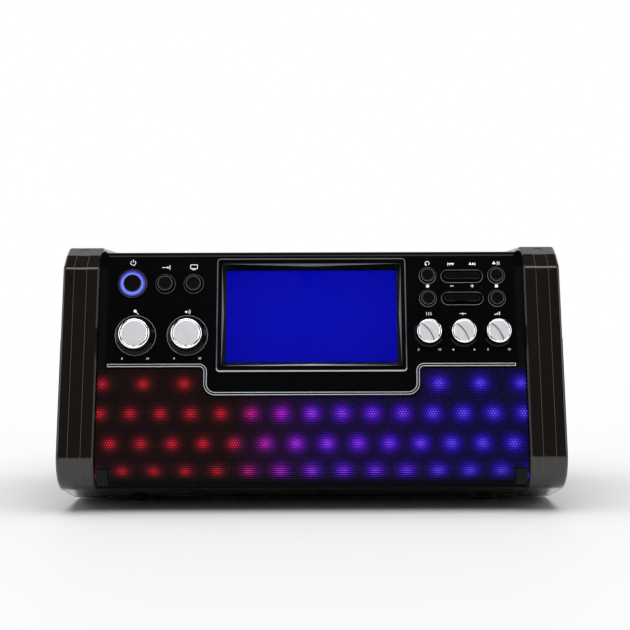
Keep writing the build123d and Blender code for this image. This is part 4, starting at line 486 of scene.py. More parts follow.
# %% Measures of the sheet
HOLE_PITCH = 1.75 * MM
WEB = 0.38 * MM              # the steel left between two holes
SHEET = 0.8 * MM
ROW_RISE = HOLE_PITCH * sqrt(3) / 2
KNEE_LINE = 12.0 * MM        # the face height at which the sheet starts to bend
BEND_RADIUS = 18 * MM
SHEET_RECESS = 1.0 * MM      # the sheet lies this far behind the panel's front
LOW_EDGE = KNEE_LINE - 27.88 * MM   # the sheet runs on that far round the knee
WING_EDGE = 69.74 * MM       # the face heights of the sheet's edges round the panel
STEM_EDGE = 51.19 * MM
STEM_HALF = 69.8 * MM
WING_END = 132.9 * MM
CORNER = 8.0 * MM            # the radius of the panel's two lower corners
SIDE_TOP = 136.9 * MM        # the top of the narrow strips beside the panel
SIDE_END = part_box("grille")[1].x
LUG_X = (129.5 * MM, 137.4 * MM)
LUG_UP = (KNEE_LINE - 20.6 * MM, KNEE_LINE - 7.4 * MM)
print("sheet between", round(LOW_EDGE / MM, 2), "and", round(SIDE_TOP / MM, 2), "mm up the face")

# %% Borders of the sheet
CORNER_CUTS = 5              # straight cuts that round each corner


def on_sheet(x, up):
    """Whether a flat point lies on the sheet, which leaves room for panel and lugs."""
    x = abs(x)
    if up > WING_EDGE and x < WING_END:
        return False
    if up > STEM_EDGE and x < STEM_HALF:
        corner_x, corner_up = STEM_HALF - CORNER, STEM_EDGE + CORNER
        outside = x > corner_x and up < corner_up
        return outside and sqrt((x - corner_x) ** 2 + (up - corner_up) ** 2) > CORNER
    in_lug = LUG_X[0] < x < LUG_X[1] and LUG_UP[0] < up < LUG_UP[1]
    return x < SIDE_END and LOW_EDGE < up < SIDE_TOP and not in_lug


def upright(side, x, first, last):
    """A border up the slope on one side of the middle, between two face heights."""
    return (side * x, first), (1, 0), (side * x, first), (side * x, last)


def level(side, first, last, up):
    """A border across the face on one side of the middle, at one face height."""
    left, right = sorted((side * first, side * last))
    return (side * first, up), (0, 1), (left, up), (right, up)


def corner_cuts(side):
    """The short borders that go round one of the panel's lower corners."""
    cuts = []
    for cut in range(CORNER_CUTS):
        shares = (cut, cut + 0.5, cut + 1)
        first, middle, last = (pi / 2 * share / CORNER_CUTS for share in shares)
        (start, low), (end, high) = (
            (side * (STEM_HALF - CORNER + CORNER * sin(turn)),
             STEM_EDGE + CORNER - CORNER * cos(turn))
            for turn in (first, last)
        )
        normal = (side * sin(middle), -cos(middle))
        cuts.append(((start, low), normal, (min(start, end), low), (max(start, end), high)))
    return cuts


def border_lines():
    """The sheet's borders as (point, normal, lowest corner, highest corner) of each cut."""
    across = ((LOW_EDGE, SIDE_END), (SIDE_TOP, SIDE_END), (STEM_EDGE, STEM_HALF - CORNER))
    lines = [((0, up), (0, 1), (-half, up), (half, up)) for up, half in across]
    for side in (-1, 1):
        lines += [
            upright(side, SIDE_END, LOW_EDGE, SIDE_TOP),
            upright(side, WING_END, WING_EDGE, SIDE_TOP),
            level(side, STEM_HALF, WING_END, WING_EDGE),
            upright(side, STEM_HALF, STEM_EDGE + CORNER, WING_EDGE),
        ]
        lines += [level(side, *LUG_X, up) for up in LUG_UP]
        lines += [upright(side, x, *LUG_UP) for x in LUG_X]
        lines += corner_cuts(side)
    return lines


print("borders", len(border_lines()))

# %% Flat honeycomb, trimmed and rolled
COLUMN_DOUBLINGS = 8         # 256 cells in a row
ROW_DOUBLINGS = 6            # 64 pairs of rows
CUT_ACCURACY = 1e-7


def repeat(bm, step, doublings):
    """Repeats everything in the mesh along a step, doubling it each time."""
    for index in range(doublings):
        copied = bmesh.ops.duplicate(bm, geom=bm.verts[:] + bm.edges[:] + bm.faces[:])
        moved = [item for item in copied["geom"] if isinstance(item, bmesh.types.BMVert)]
        bmesh.ops.translate(bm, verts=moved, vec=Vector(step) * 2 ** index)


def trim(bm, margin):
    """Cuts a flat mesh along the sheet's borders and drops what lies outside them."""
    for point, normal, low, high in border_lines():
        near = [
            face for face in bm.faces
            if low[0] - margin < face.calc_center_median().x < high[0] + margin
            and low[1] - margin < face.calc_center_median().y < high[1] + margin
        ]
        touched = {item for face in near for item in (face, *face.edges, *face.verts)}
        bmesh.ops.bisect_plane(
            bm, geom=list(touched), dist=CUT_ACCURACY,
            plane_co=(*point, 0), plane_no=(*normal, 0),
        )
    centres = {face: face.calc_center_median() for face in bm.faces}
    outside = [face for face, centre in centres.items() if not on_sheet(centre.x, centre.y)]
    bmesh.ops.delete(bm, geom=outside, context="FACES")


def roll(bm, depth):
    """Carries a flat mesh to the face, and round the knee, that far behind the panel."""
    radius = BEND_RADIUS + SHEET_RECESS - depth
    for vert in bm.verts:
        x, up = vert.co.x, vert.co.y
        if up >= KNEE_LINE:
            vert.co = face_matrix(x, up, -depth).translation
        else:
            turn = (KNEE_LINE - up) / BEND_RADIUS
            fall, back = radius * sin(turn), radius * (1 - cos(turn))
            vert.co = face_matrix(x, KNEE_LINE - fall, -depth - back).translation


bm = bmesh.new()
bmesh.ops.create_circle(bm, cap_ends=True, segments=6, radius=HOLE_PITCH / sqrt(3))
first_x = -(2 ** COLUMN_DOUBLINGS) / 2 * HOLE_PITCH
FIRST_ROW = KNEE_LINE - 30 * MM   # a little below the sheet's lower edge
bmesh.ops.translate(bm, verts=bm.verts, vec=(first_x, FIRST_ROW, 0))
repeat(bm, (HOLE_PITCH, 0, 0), COLUMN_DOUBLINGS)
repeat(bm, (HOLE_PITCH / 2, ROW_RISE, 0), 1)
repeat(bm, (0, 2 * ROW_RISE, 0), ROW_DOUBLINGS)
centres = {face: face.calc_center_median() for face in bm.faces}
REACH = 2 * HOLE_PITCH
AROUND = [(x, up) for x in (-REACH, 0, REACH) for up in (-REACH, 0, REACH)]
far = [
    face for face, at in centres.items()
    if not any(on_sheet(at.x + x, at.y + up) for x, up in AROUND)
]
bmesh.ops.delete(bm, geom=far, context="FACES")
SEAM = HOLE_PITCH / 50       # corners closer than this are one
bmesh.ops.remove_doubles(bm, verts=bm.verts, dist=SEAM)
trim(bm, REACH)
full_cell = HOLE_PITCH ** 2 * sqrt(3) / 2
OPEN_SHARE = 0.45            # a border cell with less than this left of it stays solid
holes = [face for face in bm.faces if face.calc_area() > OPEN_SHARE * full_cell]
bmesh.ops.inset_individual(bm, faces=holes, thickness=WEB / 2, use_even_offset=True)
bmesh.ops.delete(bm, geom=holes, context="FACES")
roll(bm, SHEET_RECESS)
bmesh.ops.recalc_face_normals(bm, faces=bm.faces)
print("holes", len(holes), "faces", len(bm.faces))

# %% [markdown]
# ## From a flat net to a steel sheet
# A sheet with so many holes is a heavy mesh, so it is parted into three sections side by
# side.  Each is then thickened backwards from its front, to the gauge of the real steel.

# %% The sheet, as thick as the steel
painted_steel = moulded("stove_enamelled_steel", "060606", 0.5, 1.5, 0.01, mirror=0.06)
SECTIONS = ("left", "middle", "right")
section_width = 2 * SIDE_END / len(SECTIONS)


def section_of(face):
    """Which section a face lies in, counted from the left."""
    index = int((face.calc_center_median().x + SIDE_END) / section_width)
    return min(max(index, 0), len(SECTIONS) - 1)


def thicken(sheet, depth):
    """Gives a sheet its thickness, backwards from its front."""
    outward_first = sheet.data.polygons[0].normal.dot(OUTWARD) > 0
    thickness = sheet.modifiers.new("thickness", "SOLIDIFY")
    thickness.thickness = depth
    thickness.offset = -1.0 if outward_first else 1.0
    return thickness


for index, side in enumerate(SECTIONS):
    section = bm.copy()
    apart = [face for face in section.faces if section_of(face) != index]
    bmesh.ops.delete(section, geom=apart, context="FACES")
    sheet = object_from(f"perforated_sheet_{side}", section, painted_steel)
    thicken(sheet, SHEET).use_even_offset = False
    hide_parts("grille")
    print(sheet.name, "faces", len(sheet.data.polygons))
bm.free()

# %% [markdown]
# ## Dust cloth and the lights behind it
# Behind the sheet lies a thin black cloth that keeps dust out of the loudspeakers.  Rows of
# coloured lamps shine through it from the chamber behind, and each makes a bright core with
# a wide soft halo.  That light is painted on the cloth as an emission, so its finish holds the
# pattern of the rows: red at the left, through magenta and violet, to blue at the right.

# %% Painted glow of the rows of lamps
LIGHT_ROWS = (               # face height, pitch, distance of a lamp from the middle, start
    (59.39, 26.4, 82.0, 68.8),
    (40.09, 19.4, 0.0, 0.0),
    (20.79, 19.8, 9.9, 0.0),
    (2.35, 20.1, 0.0, 0.0),
)


def math(tree, operation, first, second=0.0, third=0.0):
    """One arithmetic node's result."""
    sides = {0: first, 1: second, 2: third}
    return add(tree, "ShaderNodeMath", sides, operation=operation).outputs[0]


def distance(tree, first, second):
    """How far a point is from an axis, from its distances in two directions."""
    squares = [math(tree, "MULTIPLY", side, side) for side in (first, second)]
    return math(tree, "SQRT", math(tree, "ADD", *squares))


# the lamps' light is painted on the cloth as an emission; the cloth itself is no lamp
painted_lamp_glow, tree = new_material("polyester_cloth_with_painted_lamp_glow")
flat_place = add(tree, "ShaderNodeUVMap", uv_map="flat").outputs[0]
flat = add(tree, "ShaderNodeSeparateXYZ", {0: flat_place})
across, upward = flat.outputs["X"], flat.outputs["Y"]
CORE_MM = 2.6
HALO_MM = 4.9
STRETCH = 0.88               # the glow is a little wider than high


def bell(tree, away, radius):
    """A soft spot that falls off like a bell curve."""
    share = math(tree, "DIVIDE", away, radius)
    square = math(tree, "MULTIPLY", share, share)
    return math(tree, "EXPONENT", math(tree, "MULTIPLY", square, -1.0))


core_total, halo_total = 0.0, 0.0
reach = math(tree, "ABSOLUTE", across)
for height, pitch, first_lamp, start in LIGHT_ROWS:
    steps = math(tree, "DIVIDE", math(tree, "SUBTRACT", reach, first_lamp), pitch)
    in_step = math(tree, "FRACT", math(tree, "ADD", steps, 0.5))
    sideways = math(tree, "MULTIPLY", math(tree, "SUBTRACT", in_step, 0.5), pitch)
    sideways = math(tree, "MULTIPLY", sideways, STRETCH)
    away = distance(tree, sideways, math(tree, "SUBTRACT", upward, height))
    shown = math(tree, "GREATER_THAN", reach, start)
    core = math(tree, "MULTIPLY", bell(tree, away, CORE_MM), shown)
    halo = math(tree, "MULTIPLY", bell(tree, away, HALO_MM), shown)
    core_total = math(tree, "ADD", core_total, core)
    halo_total = math(tree, "ADD", halo_total, halo)
print("rows of lamps", len(LIGHT_ROWS))

# %% Colours of the glow
LIT_HALF = 140.0             # the colours run over this many millimetres to each side
CORE_COLOURS = (             # across the face in millimetres, colour
    (-138, "9b0d1d"), (-52, "9b0d1d"), (-38, "8c0f4c"), (-18, "731976"), (5, "603070"),
    (30, "552661"), (60, "4b3061"), (95, "453859"), (138, "453859"),
)
HALO_COLOURS = (
    (-138, "4b0a12"), (-52, "520a14"), (-38, "5c065c"), (-18, "650095"), (5, "4c03b4"),
    (30, "4603bb"), (60, "3a00bf"), (95, "2804c4"), (138, "2002c0"),
)


def colours_across(tree, stops, place):
    """A colour that runs through the given stops from one side of the face to the other."""
    share_across = math(tree, "MULTIPLY_ADD", place, 0.5 / LIT_HALF, 0.5)
    made = add(tree, "ShaderNodeValToRGB", {0: share_across})
    ramp = made.color_ramp
    for index, (at, code) in enumerate(stops):
        share = at / LIT_HALF / 2 + 0.5
        stop = ramp.elements[index] if index < 2 else ramp.elements.new(share)
        stop.position = share
        stop.color = colour(code)
    return made.outputs[0]


def scaled(tree, vector, factor):
    """A colour made brighter or darker by a factor."""
    sides = {0: vector, 3: factor}
    return add(tree, "ShaderNodeVectorMath", sides, operation="SCALE").outputs[0]


# painted light: a faint glow between the lamps, and the halos only below the panel's wing edge
AMBIENT = 0.05               # the faint light between the lamps
chamber = math(tree, "LESS_THAN", upward, WING_EDGE / MM)
halo_total = math(tree, "MULTIPLY", math(tree, "ADD", halo_total, AMBIENT), chamber)
light = add(tree, "ShaderNodeVectorMath", {
    0: scaled(tree, colours_across(tree, CORE_COLOURS, across), core_total),
    1: scaled(tree, colours_across(tree, HALO_COLOURS, across), halo_total),
}, operation="ADD").outputs[0]
cloth_shader = add(tree, "ShaderNodeBsdfPrincipled", {
    "Base Color": colour("0a0a0b"), "Roughness": 0.9,
    "Emission Color": light, "Emission Strength": 1.85,
})
finish_with(tree, cloth_shader.outputs[0])
print("colours across", len(CORE_COLOURS))

# %% Cloth behind the sheet
CLOTH_DEPTH = 1.84 * MM      # behind the panel's front, just behind the sheet's back
CLOTH = 0.12 * MM
CLOTH_GRID = (28, 44)
LONGEST_CELL = 12 * MM       # longer than any cell of that grid
bm = bmesh.new()
bmesh.ops.create_grid(bm, x_segments=CLOTH_GRID[0], y_segments=CLOTH_GRID[1], size=1.0)
bmesh.ops.scale(bm, verts=bm.verts, vec=(SIDE_END, (SIDE_TOP - LOW_EDGE) / 2, 1))
bmesh.ops.translate(bm, verts=bm.verts, vec=(0, (SIDE_TOP + LOW_EDGE) / 2, 0))
trim(bm, LONGEST_CELL)
flat_map = bm.loops.layers.uv.new("flat")
for face in bm.faces:
    for loop in face.loops:
        loop[flat_map].uv = (loop.vert.co.x / MM, loop.vert.co.y / MM)
roll(bm, CLOTH_DEPTH)
bmesh.ops.recalc_face_normals(bm, faces=bm.faces)
cloth = object_from("dust_cloth", bm, painted_lamp_glow)
thicken(cloth, CLOTH)
print("cloth faces", len(cloth.data.polygons))

# %% [markdown]
# ## Display
# The display shows an idle picture, a plain blue that is a little brighter in the middle.
# Its light comes from the panel itself, so its finish is an emission with a dark metal
# frame round it, drawn in the face's own coordinates.

# %% Display picture
def along(tree, vector):
    """A socket with a point's coordinate along a fixed direction."""
    sides = {0: add(tree, "ShaderNodeTexCoord").outputs["Object"], 1: vector}
    return add(tree, "ShaderNodeVectorMath", sides, operation="DOT_PRODUCT").outputs["Value"]


glass_low, glass_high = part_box("screen_window")
SCREEN_MIDDLE = on_face((glass_low + glass_high) / 2)
print("screen middle", [round(v / MM, 2) for v in SCREEN_MIDDLE])
PICTURE = (112.4, 61.0)      # millimetres
DIMMING = 0.3                # how fast the blue falls off from the middle
display, tree = new_material("backlit_liquid_crystal")
x_mm = math(tree, "DIVIDE", along(tree, ACROSS), MM)
up_mm = math(tree, "DIVIDE", math(tree, "SUBTRACT", along(tree, UPSLOPE), SCREEN_MIDDLE.y), MM)
share_x = math(tree, "DIVIDE", math(tree, "ABSOLUTE", x_mm), PICTURE[0] / 2)
share_up = math(tree, "DIVIDE", math(tree, "ABSOLUTE", up_mm), PICTURE[1] / 2)
edge = math(tree, "MAXIMUM", share_x, share_up)
lit = math(tree, "LESS_THAN", edge, 1.0)
squares = [math(tree, "POWER", share, 2.0) for share in (share_x, share_up)]
fall_off = math(tree, "MULTIPLY", math(tree, "ADD", *squares), DIMMING)
middle_first = math(tree, "SUBTRACT", 1.0, fall_off)
picture_blue = add(tree, "ShaderNodeMix", {
    0: middle_first, 6: colour("000092"), 7: colour("0103b4"),
}, data_type="RGBA")
shader = add(tree, "ShaderNodeBsdfPrincipled", {
    "Base Color": colour("030304"), "Roughness": 0.5, "Specular IOR Level": 0.05,
    "Emission Color": picture_blue.outputs[2], "Emission Strength": lit,
})
finish_with(tree, shader.outputs[0])
wear(display, "display_module")


# %% [markdown]
# ## Lamps and the lit ring
# The power key sits in a ring of frosted polycarbonate with blue lamps under it.  A ring that
# glows evenly looks like a sticker, so the glow is strongest in the middle of the ring's
# width and falls off to its edges, which is worked out from the distance to its axis.

# %% Lit ring and lamp lenses
ring_low, ring_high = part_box("power_ring")
ring_middle = on_face((ring_low + ring_high) / 2)
RING_MM = (7.1, 9.3)         # the ring's inner and outer radius
lit_ring, tree = new_material("frosted_polycarbonate_with_lamps")
side_mm = math(tree, "DIVIDE", math(tree, "SUBTRACT", along(tree, ACROSS), ring_middle.x), MM)
rise_mm = math(tree, "DIVIDE", math(tree, "SUBTRACT", along(tree, UPSLOPE), ring_middle.y), MM)
from_axis = distance(tree, side_mm, rise_mm)
off_middle = math(tree, "ABSOLUTE", math(tree, "SUBTRACT", from_axis, sum(RING_MM) / 2))
outer_share = math(tree, "DIVIDE", off_middle, (RING_MM[1] - RING_MM[0]) / 2)
ring_colour = add(tree, "ShaderNodeMix", {
    0: math(tree, "POWER", outer_share, 3.0), 6: colour("222c9c"), 7: colour("7480ec"),
}, data_type="RGBA")
ring_shader = add(tree, "ShaderNodeBsdfPrincipled", {
    "Base Color": colour("101430"), "Roughness": 0.35,
    "Emission Color": ring_colour.outputs[2], "Emission Strength": 1.0,
})
finish_with(tree, ring_shader.outputs[0])
wear(lit_ring, "power_ring")
lamp_lens = moulded("cast_epoxy", "e8e8e0", 0.12, 3.0, 0.0)
wear(lamp_lens, "leds")
print("ring middle", [round(v / MM, 1) for v in ring_middle])

# %% [markdown]
# ## Bright edges of the panel
# The step round the panel's lower edge is a narrow raised bead.  In gloss black only its
# rounded edges catch the lamps, and they read as two fine bright lines.  The bead is already
# part of the moulding, so those lines are a painted highlight: its sloping faces get a brighter
# silver finish, and the window frame's sloping faces a grey one.

# %% Painted highlights on the rounded edges of the bead and the window frame
FLAKE_MM = 0.8


def lacquered(name, hex_code, flake_share):
    """A painted highlight: a grey or silver finish with a share of metal flakes in it."""
    made, tree = new_material(name)
    place = add(tree, "ShaderNodeTexCoord").outputs["Object"]
    flakes = add(tree, "ShaderNodeTexNoise", {
        "Vector": place, "Scale": 1 / (FLAKE_MM * MM), "Detail": 2.0,
    })
    sheen = add(tree, "ShaderNodeMapRange", {
        "Value": flakes.outputs["Fac"], "To Min": 0.3, "To Max": 0.45,
    })
    lacquer = add(tree, "ShaderNodeBsdfPrincipled", {
        "Base Color": colour(hex_code), "Metallic": flake_share, "Roughness": sheen.outputs[0],
    })
    finish_with(tree, lacquer.outputs[0])
    return made


# painted highlights: silver on the bead's rounded edges, grey on the window frame's and the keys'
bead_highlight_paint = lacquered("silver_painted_highlight", "a8aaae", 0.6)
edge_highlight_paint = lacquered("grey_painted_highlight", "5a5c60", 0.3)
panel_mesh = nodes["fascia"].data
panel_mesh.materials.append(bead_highlight_paint)
panel_mesh.materials.append(edge_highlight_paint)
BEAD_SLOT, FRAME_SLOT = len(panel_mesh.materials) - 2, len(panel_mesh.materials) - 1
BEAD_FOOT = 0.12 * MM        # only what stands out of the panel is painted
BEAD_REACH = 4.0 * MM        # the bead lies this close to the panel's lower edge
STEEPEST, FLATTEST = 0.15, 0.985   # how squarely a rounded edge's faces look outward
painted = {BEAD_SLOT: 0, FRAME_SLOT: 0}
for face in panel_mesh.polygons:
    middle = on_face(nodes["fascia"].matrix_world @ face.center)
    if middle.z < BEAD_FOOT or not STEEPEST < face.normal.dot(OUTWARD) < FLATTEST:
        continue
    face.material_index = BEAD_SLOT if middle.y < WING_EDGE + BEAD_REACH else FRAME_SLOT
    painted[face.material_index] += 1
print("faces on bead and window frame", list(painted.values()))

# %% [markdown]
# ## Marks on the control panel
# Marks are pad-printed in white ink, a film a few hundredths of a millimetre thick.  They
# could be painted in a shader, but small flat shapes stay sharp at any distance and keep
# their place in an export.  Every mark is built from bars, arcs, discs and triangles.

# %% Shapes for printing
INK = 0.03 * MM              # the film's height above the panel
ARC_STEPS = 20


def bar(bm, start, end, width):
    """A straight printed stroke between two points, in millimetres."""
    start, end = Vector((*start, 0)), Vector((*end, 0))
    run = end - start
    stroke = bmesh.ops.create_grid(bm, x_segments=1, y_segments=1, size=0.5)["verts"]
    shape = Matrix.Diagonal((run.length, width, 1, 1))
    turn = Matrix.Rotation(atan2(run.y, run.x), 4, "Z")
    place = Matrix.Translation((start + end) / 2) @ (turn @ shape)
    bmesh.ops.transform(bm, matrix=place, verts=stroke)


def arc(bm, middle, radius, first, last, width):
    """A printed stroke along part of a circle, from one angle to another in degrees."""
    outline = bmesh.ops.create_grid(bm, x_segments=ARC_STEPS, y_segments=1, size=0.5)["verts"]
    for vert in outline:
        angle = radians(first + (last - first) * (vert.co.x + 0.5))
        at = radius + vert.co.y * width
        vert.co = (middle[0] + at * cos(angle), middle[1] + at * sin(angle), 0)


def dot(bm, middle, radius, corners=24, turned=0.0):
    """A filled printed disc, or with few corners a triangle or a square."""
    place = Matrix.Translation((*middle, 0)) @ Matrix.Rotation(radians(turned), 4, "Z")
    bmesh.ops.create_circle(bm, cap_ends=True, segments=corners, radius=radius, matrix=place)


def box_outline(bm, middle, size, width):
    """A printed rectangle."""
    (x, y), (half_x, half_y) = middle, (size[0] / 2, size[1] / 2)
    signs = ((-1, -1), (1, -1), (1, 1), (-1, 1))
    corners = [(x + side * half_x, y + rise * half_y) for side, rise in signs]
    for first, last in zip(corners, corners[1:] + corners[:1]):
        bar(bm, first, last, width)


def capsule_outline(bm, middle, size, width):
    """A printed outline with two straight sides and two round ends."""
    radius = size[1] / 2
    half = size[0] / 2 - radius
    arc(bm, (middle[0] + half, middle[1]), radius, -90, 90, width)
    arc(bm, (middle[0] - half, middle[1]), radius, 90, 270, width)
    for rise in (-radius, radius):
        bar(bm, (middle[0] - half, middle[1] + rise), (middle[0] + half, middle[1] + rise), width)


def numeral(bm, text, middle, height):
    """A printed number, made from Blender's own font."""
    curve = bpy.data.curves.new("numeral_" + text, "FONT")
    curve.body = text
    curve.size = height
    curve.align_x = "CENTER"
    curve.align_y = "CENTER"
    holder = bpy.data.objects.new("numeral_" + text, curve)
    flat = bpy.data.meshes.new_from_object(holder)
    before = len(bm.verts)
    bm.from_mesh(flat)
    bm.verts.ensure_lookup_table()
    bmesh.ops.translate(bm, verts=bm.verts[before:], vec=(*middle, 0))
    bpy.data.meshes.remove(flat)
    bpy.data.objects.remove(holder)
    bpy.data.curves.remove(curve)


def printed(name, bm, material, body=HOUSING, out=INK):
    """Carries flat work in millimetres to the face."""
    bmesh.ops.recalc_face_normals(bm, faces=bm.faces)
    turned = [face for face in bm.faces if face.normal.z < 0]
    bmesh.ops.reverse_faces(bm, faces=turned)
    bmesh.ops.transform(bm, matrix=face_matrix(0, 0, out) @ Matrix.Scale(MM, 4), verts=bm.verts)
    return object_from(name, bm, material, body)


print("ink stands out", round(INK / MM, 2), "mm")

# %% [markdown]
# ## White ink
# A pad leaves a film that covers a little unevenly.  A fine noise between two near whites,
# on a matt surface, gives the marks that slightly chalky look.

# %% White ink
INK_PATCH_MM = 0.5
white_ink, tree = new_material("pad_printed_white_ink")
place = add(tree, "ShaderNodeTexCoord").outputs["Object"]
cover = add(tree, "ShaderNodeTexNoise", {
    "Vector": place, "Scale": 1 / (INK_PATCH_MM * MM), "Detail": 3.0,
})
ink_colour = add(tree, "ShaderNodeMix", {
    0: cover.outputs["Fac"], 6: colour("d9dadc"), 7: colour("f2f3f5"),
}, data_type="RGBA")
ink_shader = add(tree, "ShaderNodeBsdfPrincipled", {
    "Base Color": ink_colour.outputs[2], "Roughness": 0.45,
})
finish_with(tree, ink_shader.outputs[0])
print("ink patches", INK_PATCH_MM, "mm")

# %% [markdown]
# ## Symbols above the keys
# A key's symbol stands straight above it, so its place follows from the key's own.  The
# symbols are the ones that every player uses: a triangle plays, a disc records, a square
# stops.  All their sizes are in millimetres.

# %% Symbols above the keys
STROKE = 0.38
SMALL_KEY_RISE = 8.4         # a symbol's height above the middle of its key
SYMBOL_RISE = {"power_ring": 14.6, "function_button": 11.4, "screen_button": 11.6}


def middle_of(name):
    """The face position of a node's middle, in millimetres."""
    low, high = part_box(name)
    place = on_face((low + high) / 2)
    return place.x / MM, place.y / MM


def above(name):
    """The place of a key's symbol."""
    x, up = middle_of(name)
    return x, up + SYMBOL_RISE.get(name, SMALL_KEY_RISE)


bm = bmesh.new()
x, up = above("power_ring")
arc(bm, (x, up), 1.6, 130, 410, STROKE)
bar(bm, (x, up + 0.3), (x, up + 2.2), STROKE)

x, up = above("function_button")
bar(bm, (x - 2.4, up), (x + 0.9, up), STROKE)
dot(bm, (x + 1.2, up), 0.9, corners=3)
bar(bm, (x + 2.6, up - 1.5), (x + 2.6, up + 1.5), STROKE)

x, up = above("screen_button")
box_outline(bm, (x, up + 0.3), (4.4, 2.6), STROKE)
bar(bm, (x - 1.1, up - 1.7), (x + 1.1, up - 1.7), STROKE)

x, up = above("program_button")
arc(bm, (x, up), 1.3, -50, 230, STROKE)
dot(bm, (x - 0.9, up - 1.0), 0.8, corners=3, turned=210)

dot(bm, above("record_button"), 1.1)

x, up = above("play_button")
dot(bm, (x - 1.2, up), 1.35, corners=3)
for side in (1.0, 2.2):
    bar(bm, (x + side, up - 1.15), (x + side, up + 1.15), STROKE)

dot(bm, above("stop_button"), 1.4, corners=4, turned=45)

for name, side in (("skip_back_key", -1), ("skip_forward_key", 1)):
    x, up = above(name)
    for step in (-0.9, 0.9):
        dot(bm, (x + side * step, up), 1.1, corners=3, turned=0 if side > 0 else 180)
    bar(bm, (x + side * 2.3, up - 1.0), (x + side * 2.3, up + 1.0), STROKE)

for name in ("key_down_key", "key_up_key"):
    x, up = above(name)
    bar(bm, (x - 1.1, up), (x + 1.1, up), STROKE)
    if name == "key_up_key":
        bar(bm, (x, up - 1.1), (x, up + 1.1), STROKE)
print("symbol faces", len(bm.faces))

# %% [markdown]
# ## Symbols and scales round the knobs
# A knob has its symbol above it and the two ends of its scale below it.  The balance knob
# runs from side to side, so two triangles stand there instead of numbers.

# %% Symbols and scales round the knobs
LARGE_KNOBS = ("mic_volume", "master_volume")
LARGE_MARKS = (15.6, 8.2, -15.2)   # the symbol's height; the scale's half width and height
SMALL_MARKS = (12.4, 6.8, -11.4)
NUMERAL = 2.0
for name in KNOBS:
    x, up = middle_of(f"{name}_cap")
    rise, side, drop = LARGE_MARKS if name in LARGE_KNOBS else SMALL_MARKS
    rise += up
    if name == "balance":
        dot(bm, (x - side, up + drop), 0.8, corners=3, turned=180)
        dot(bm, (x + side, up + drop), 0.8, corners=3)
        bar(bm, (x - 2.2, rise), (x + 2.2, rise), STROKE)
        bar(bm, (x, rise - 0.9), (x, rise + 0.9), STROKE)
        continue
    numeral(bm, "0", (x - side, up + drop), NUMERAL)
    numeral(bm, "10", (x + side, up + drop), NUMERAL)
    if name == "mic_volume":
        dot(bm, (x - 0.6, rise + 0.6), 1.0)
        bar(bm, (x, rise), (x + 1.7, rise - 1.7), STROKE)
    elif name == "master_volume":
        dot(bm, (x - 1.0, rise), 0.9, corners=4, turned=45)
        for radius in (1.0, 2.0):
            arc(bm, (x - 0.4, rise), radius, -45, 45, STROKE)
    elif name == "echo":
        for step in (-1.4, 0.0, 1.4):
            arc(bm, (x + step - 1.2, rise), 1.6, -40, 40, STROKE)
    else:
        for step, height in ((-1.4, 0.8), (0.0, 1.5), (1.4, 2.2)):
            bar(bm, (x + step, rise - 1.0), (x + step, rise - 1.0 + height), 0.7)
marks = printed("panel_marks", bm, white_ink)
print("mark faces", len(marks.data.polygons))

# %% [markdown]
# ## Rings and outlines
# Each key and each large knob sits in a shallow round recess.  Its polished rim catches the
# lamps, and that highlight is painted as a fine grey line on the black panel; without it the
# keys would vanish in the dark.

# %% Painted highlights on the rims of the recesses
RIM = 0.34
RIM_OUT = 0.02 * MM          # the rims' height above the panel
KEY_GAP = 0.55               # from a round key's side to its rim
KNOB_RIM = 13.2              # the rim's radius round a large knob
ROCKER_KEY = (12.6, 7.1)     # the width and height of a key that shares its recess
ROCKER_GAP = 1.3             # how much bigger the recess is than its two keys
ROUND_KEYS = (
    "function_button", "screen_button", "program_button",
    "play_button", "record_button", "stop_button",
)
# painted highlight: the light on the recesses' polished rims, drawn as grey lines
recess_highlight_paint = lacquered("grey_painted_recess_highlight", "7e8184", 0.2)


def width_of(name):
    """A node's width, in millimetres."""
    low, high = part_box(name)
    return (high.x - low.x) / MM


bm = bmesh.new()
for name in ROUND_KEYS:
    arc(bm, middle_of(name), width_of(name) / 2 + KEY_GAP, 0, 360, RIM)
for name in LARGE_KNOBS:
    arc(bm, middle_of(f"{name}_cap"), KNOB_RIM, 0, 360, RIM)
for left, right in (("skip_back_key", "skip_forward_key"), ("key_down_key", "key_up_key")):
    (left_x, up), (right_x, _) = middle_of(left), middle_of(right)
    height = width_of(left) * ROCKER_KEY[1] / ROCKER_KEY[0]
    recess = (right_x - left_x + ROCKER_KEY[0] + ROCKER_GAP, height + ROCKER_GAP)
    capsule_outline(bm, ((left_x + right_x) / 2, up), recess, RIM)
rims = printed("recess_rim_highlights", bm, recess_highlight_paint, out=RIM_OUT)
print("rim faces", len(rims.data.polygons))
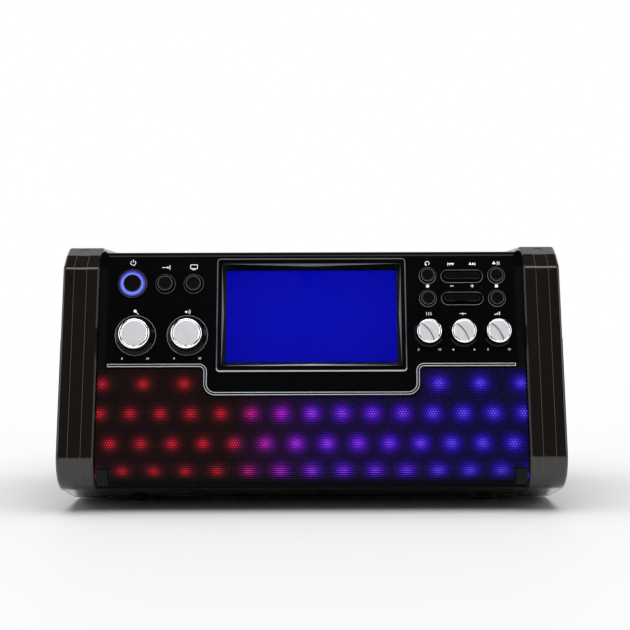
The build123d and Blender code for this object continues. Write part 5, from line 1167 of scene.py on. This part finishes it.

# %% [markdown]
# ## Lines on the keys
# A round key has a rounded edge, and the lamps draw a thin ring of light there.  That ring is
# a painted highlight: a separate thin grey piece that rides on its own key, so it goes down
# when the key is pressed.

# %% Painted highlight lines on the keys
KEY_EDGE = 0.8               # the line on a key's face, in from its side
KEY_LINE = RIM * 0.8


def top_of(name):
    """How far a node stands out of the panel."""
    node = nodes[name]
    return max(on_face(node.matrix_world @ vert.co).z for vert in node.data.vertices)


# painted highlight: a grey ring where the lamps would light the key's rounded edge
for name in ROUND_KEYS:
    bm = bmesh.new()
    arc(bm, middle_of(name), width_of(name) / 2 - KEY_EDGE, 0, 360, KEY_LINE)
    printed(f"{name}_line", bm, edge_highlight_paint, name.replace("_button", "_push"), top_of(name) + INK)
print("key tops", [round(top_of(name) / MM, 2) for name in ROUND_KEYS])

# %% [markdown]
# ## Pointers on the knobs
# The caps of the small knobs are crossed by a fine curved step, which shows where the knob
# points.  The big caps carry a short mark near their rim.  Each is a separate thin piece
# that rides on its own knob, so it turns when the knob turns.

# %% Pointers
pointer_finish = moulded("dark_filled_step", "26282a", 0.4, 1.0, 0.0)
STEP_SWEEP = 17.0            # the radius of the curved step on a small cap
STEP_LEAN = 35.0             # its direction, in degrees
STEP_END = 0.9               # how far from the cap's edge it ends
STEP_WIDTH = 0.45
for name in KNOBS:
    x, up = middle_of(f"{name}_cap")
    radius = width_of(f"{name}_cap") / 2
    bm = bmesh.new()
    if name in LARGE_KNOBS:
        arc(bm, (x, up), radius - 1.2, 128, 148, 0.7)
        bar(bm, (x, up - radius + 0.7), (x, up - radius + 2.4), 0.5)
    else:
        half = degrees(asin((radius - STEP_END) / STEP_SWEEP))
        lean = radians(STEP_LEAN)
        heart = (x - STEP_SWEEP * cos(lean), up - STEP_SWEEP * sin(lean))
        arc(bm, heart, STEP_SWEEP, STEP_LEAN - half, STEP_LEAN + half, STEP_WIDTH)
    printed(f"{name}_pointer", bm, pointer_finish, name, top_of(f"{name}_cap") + INK)
print("pointers", len(KNOBS))

# %% [markdown]
# ## Sizes and finish
# The looks should not make the machine bigger than its solid model, so the script prints how
# far each side of the box has grown, in millimetres.

bpy.context.view_layer.update()
look_box = [list(corner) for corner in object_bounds()]
pairs = zip(cad_box, look_box)
print("grown by mm", [[round((b - a) / MM, 2) for a, b in zip(*pair)] for pair in pairs])
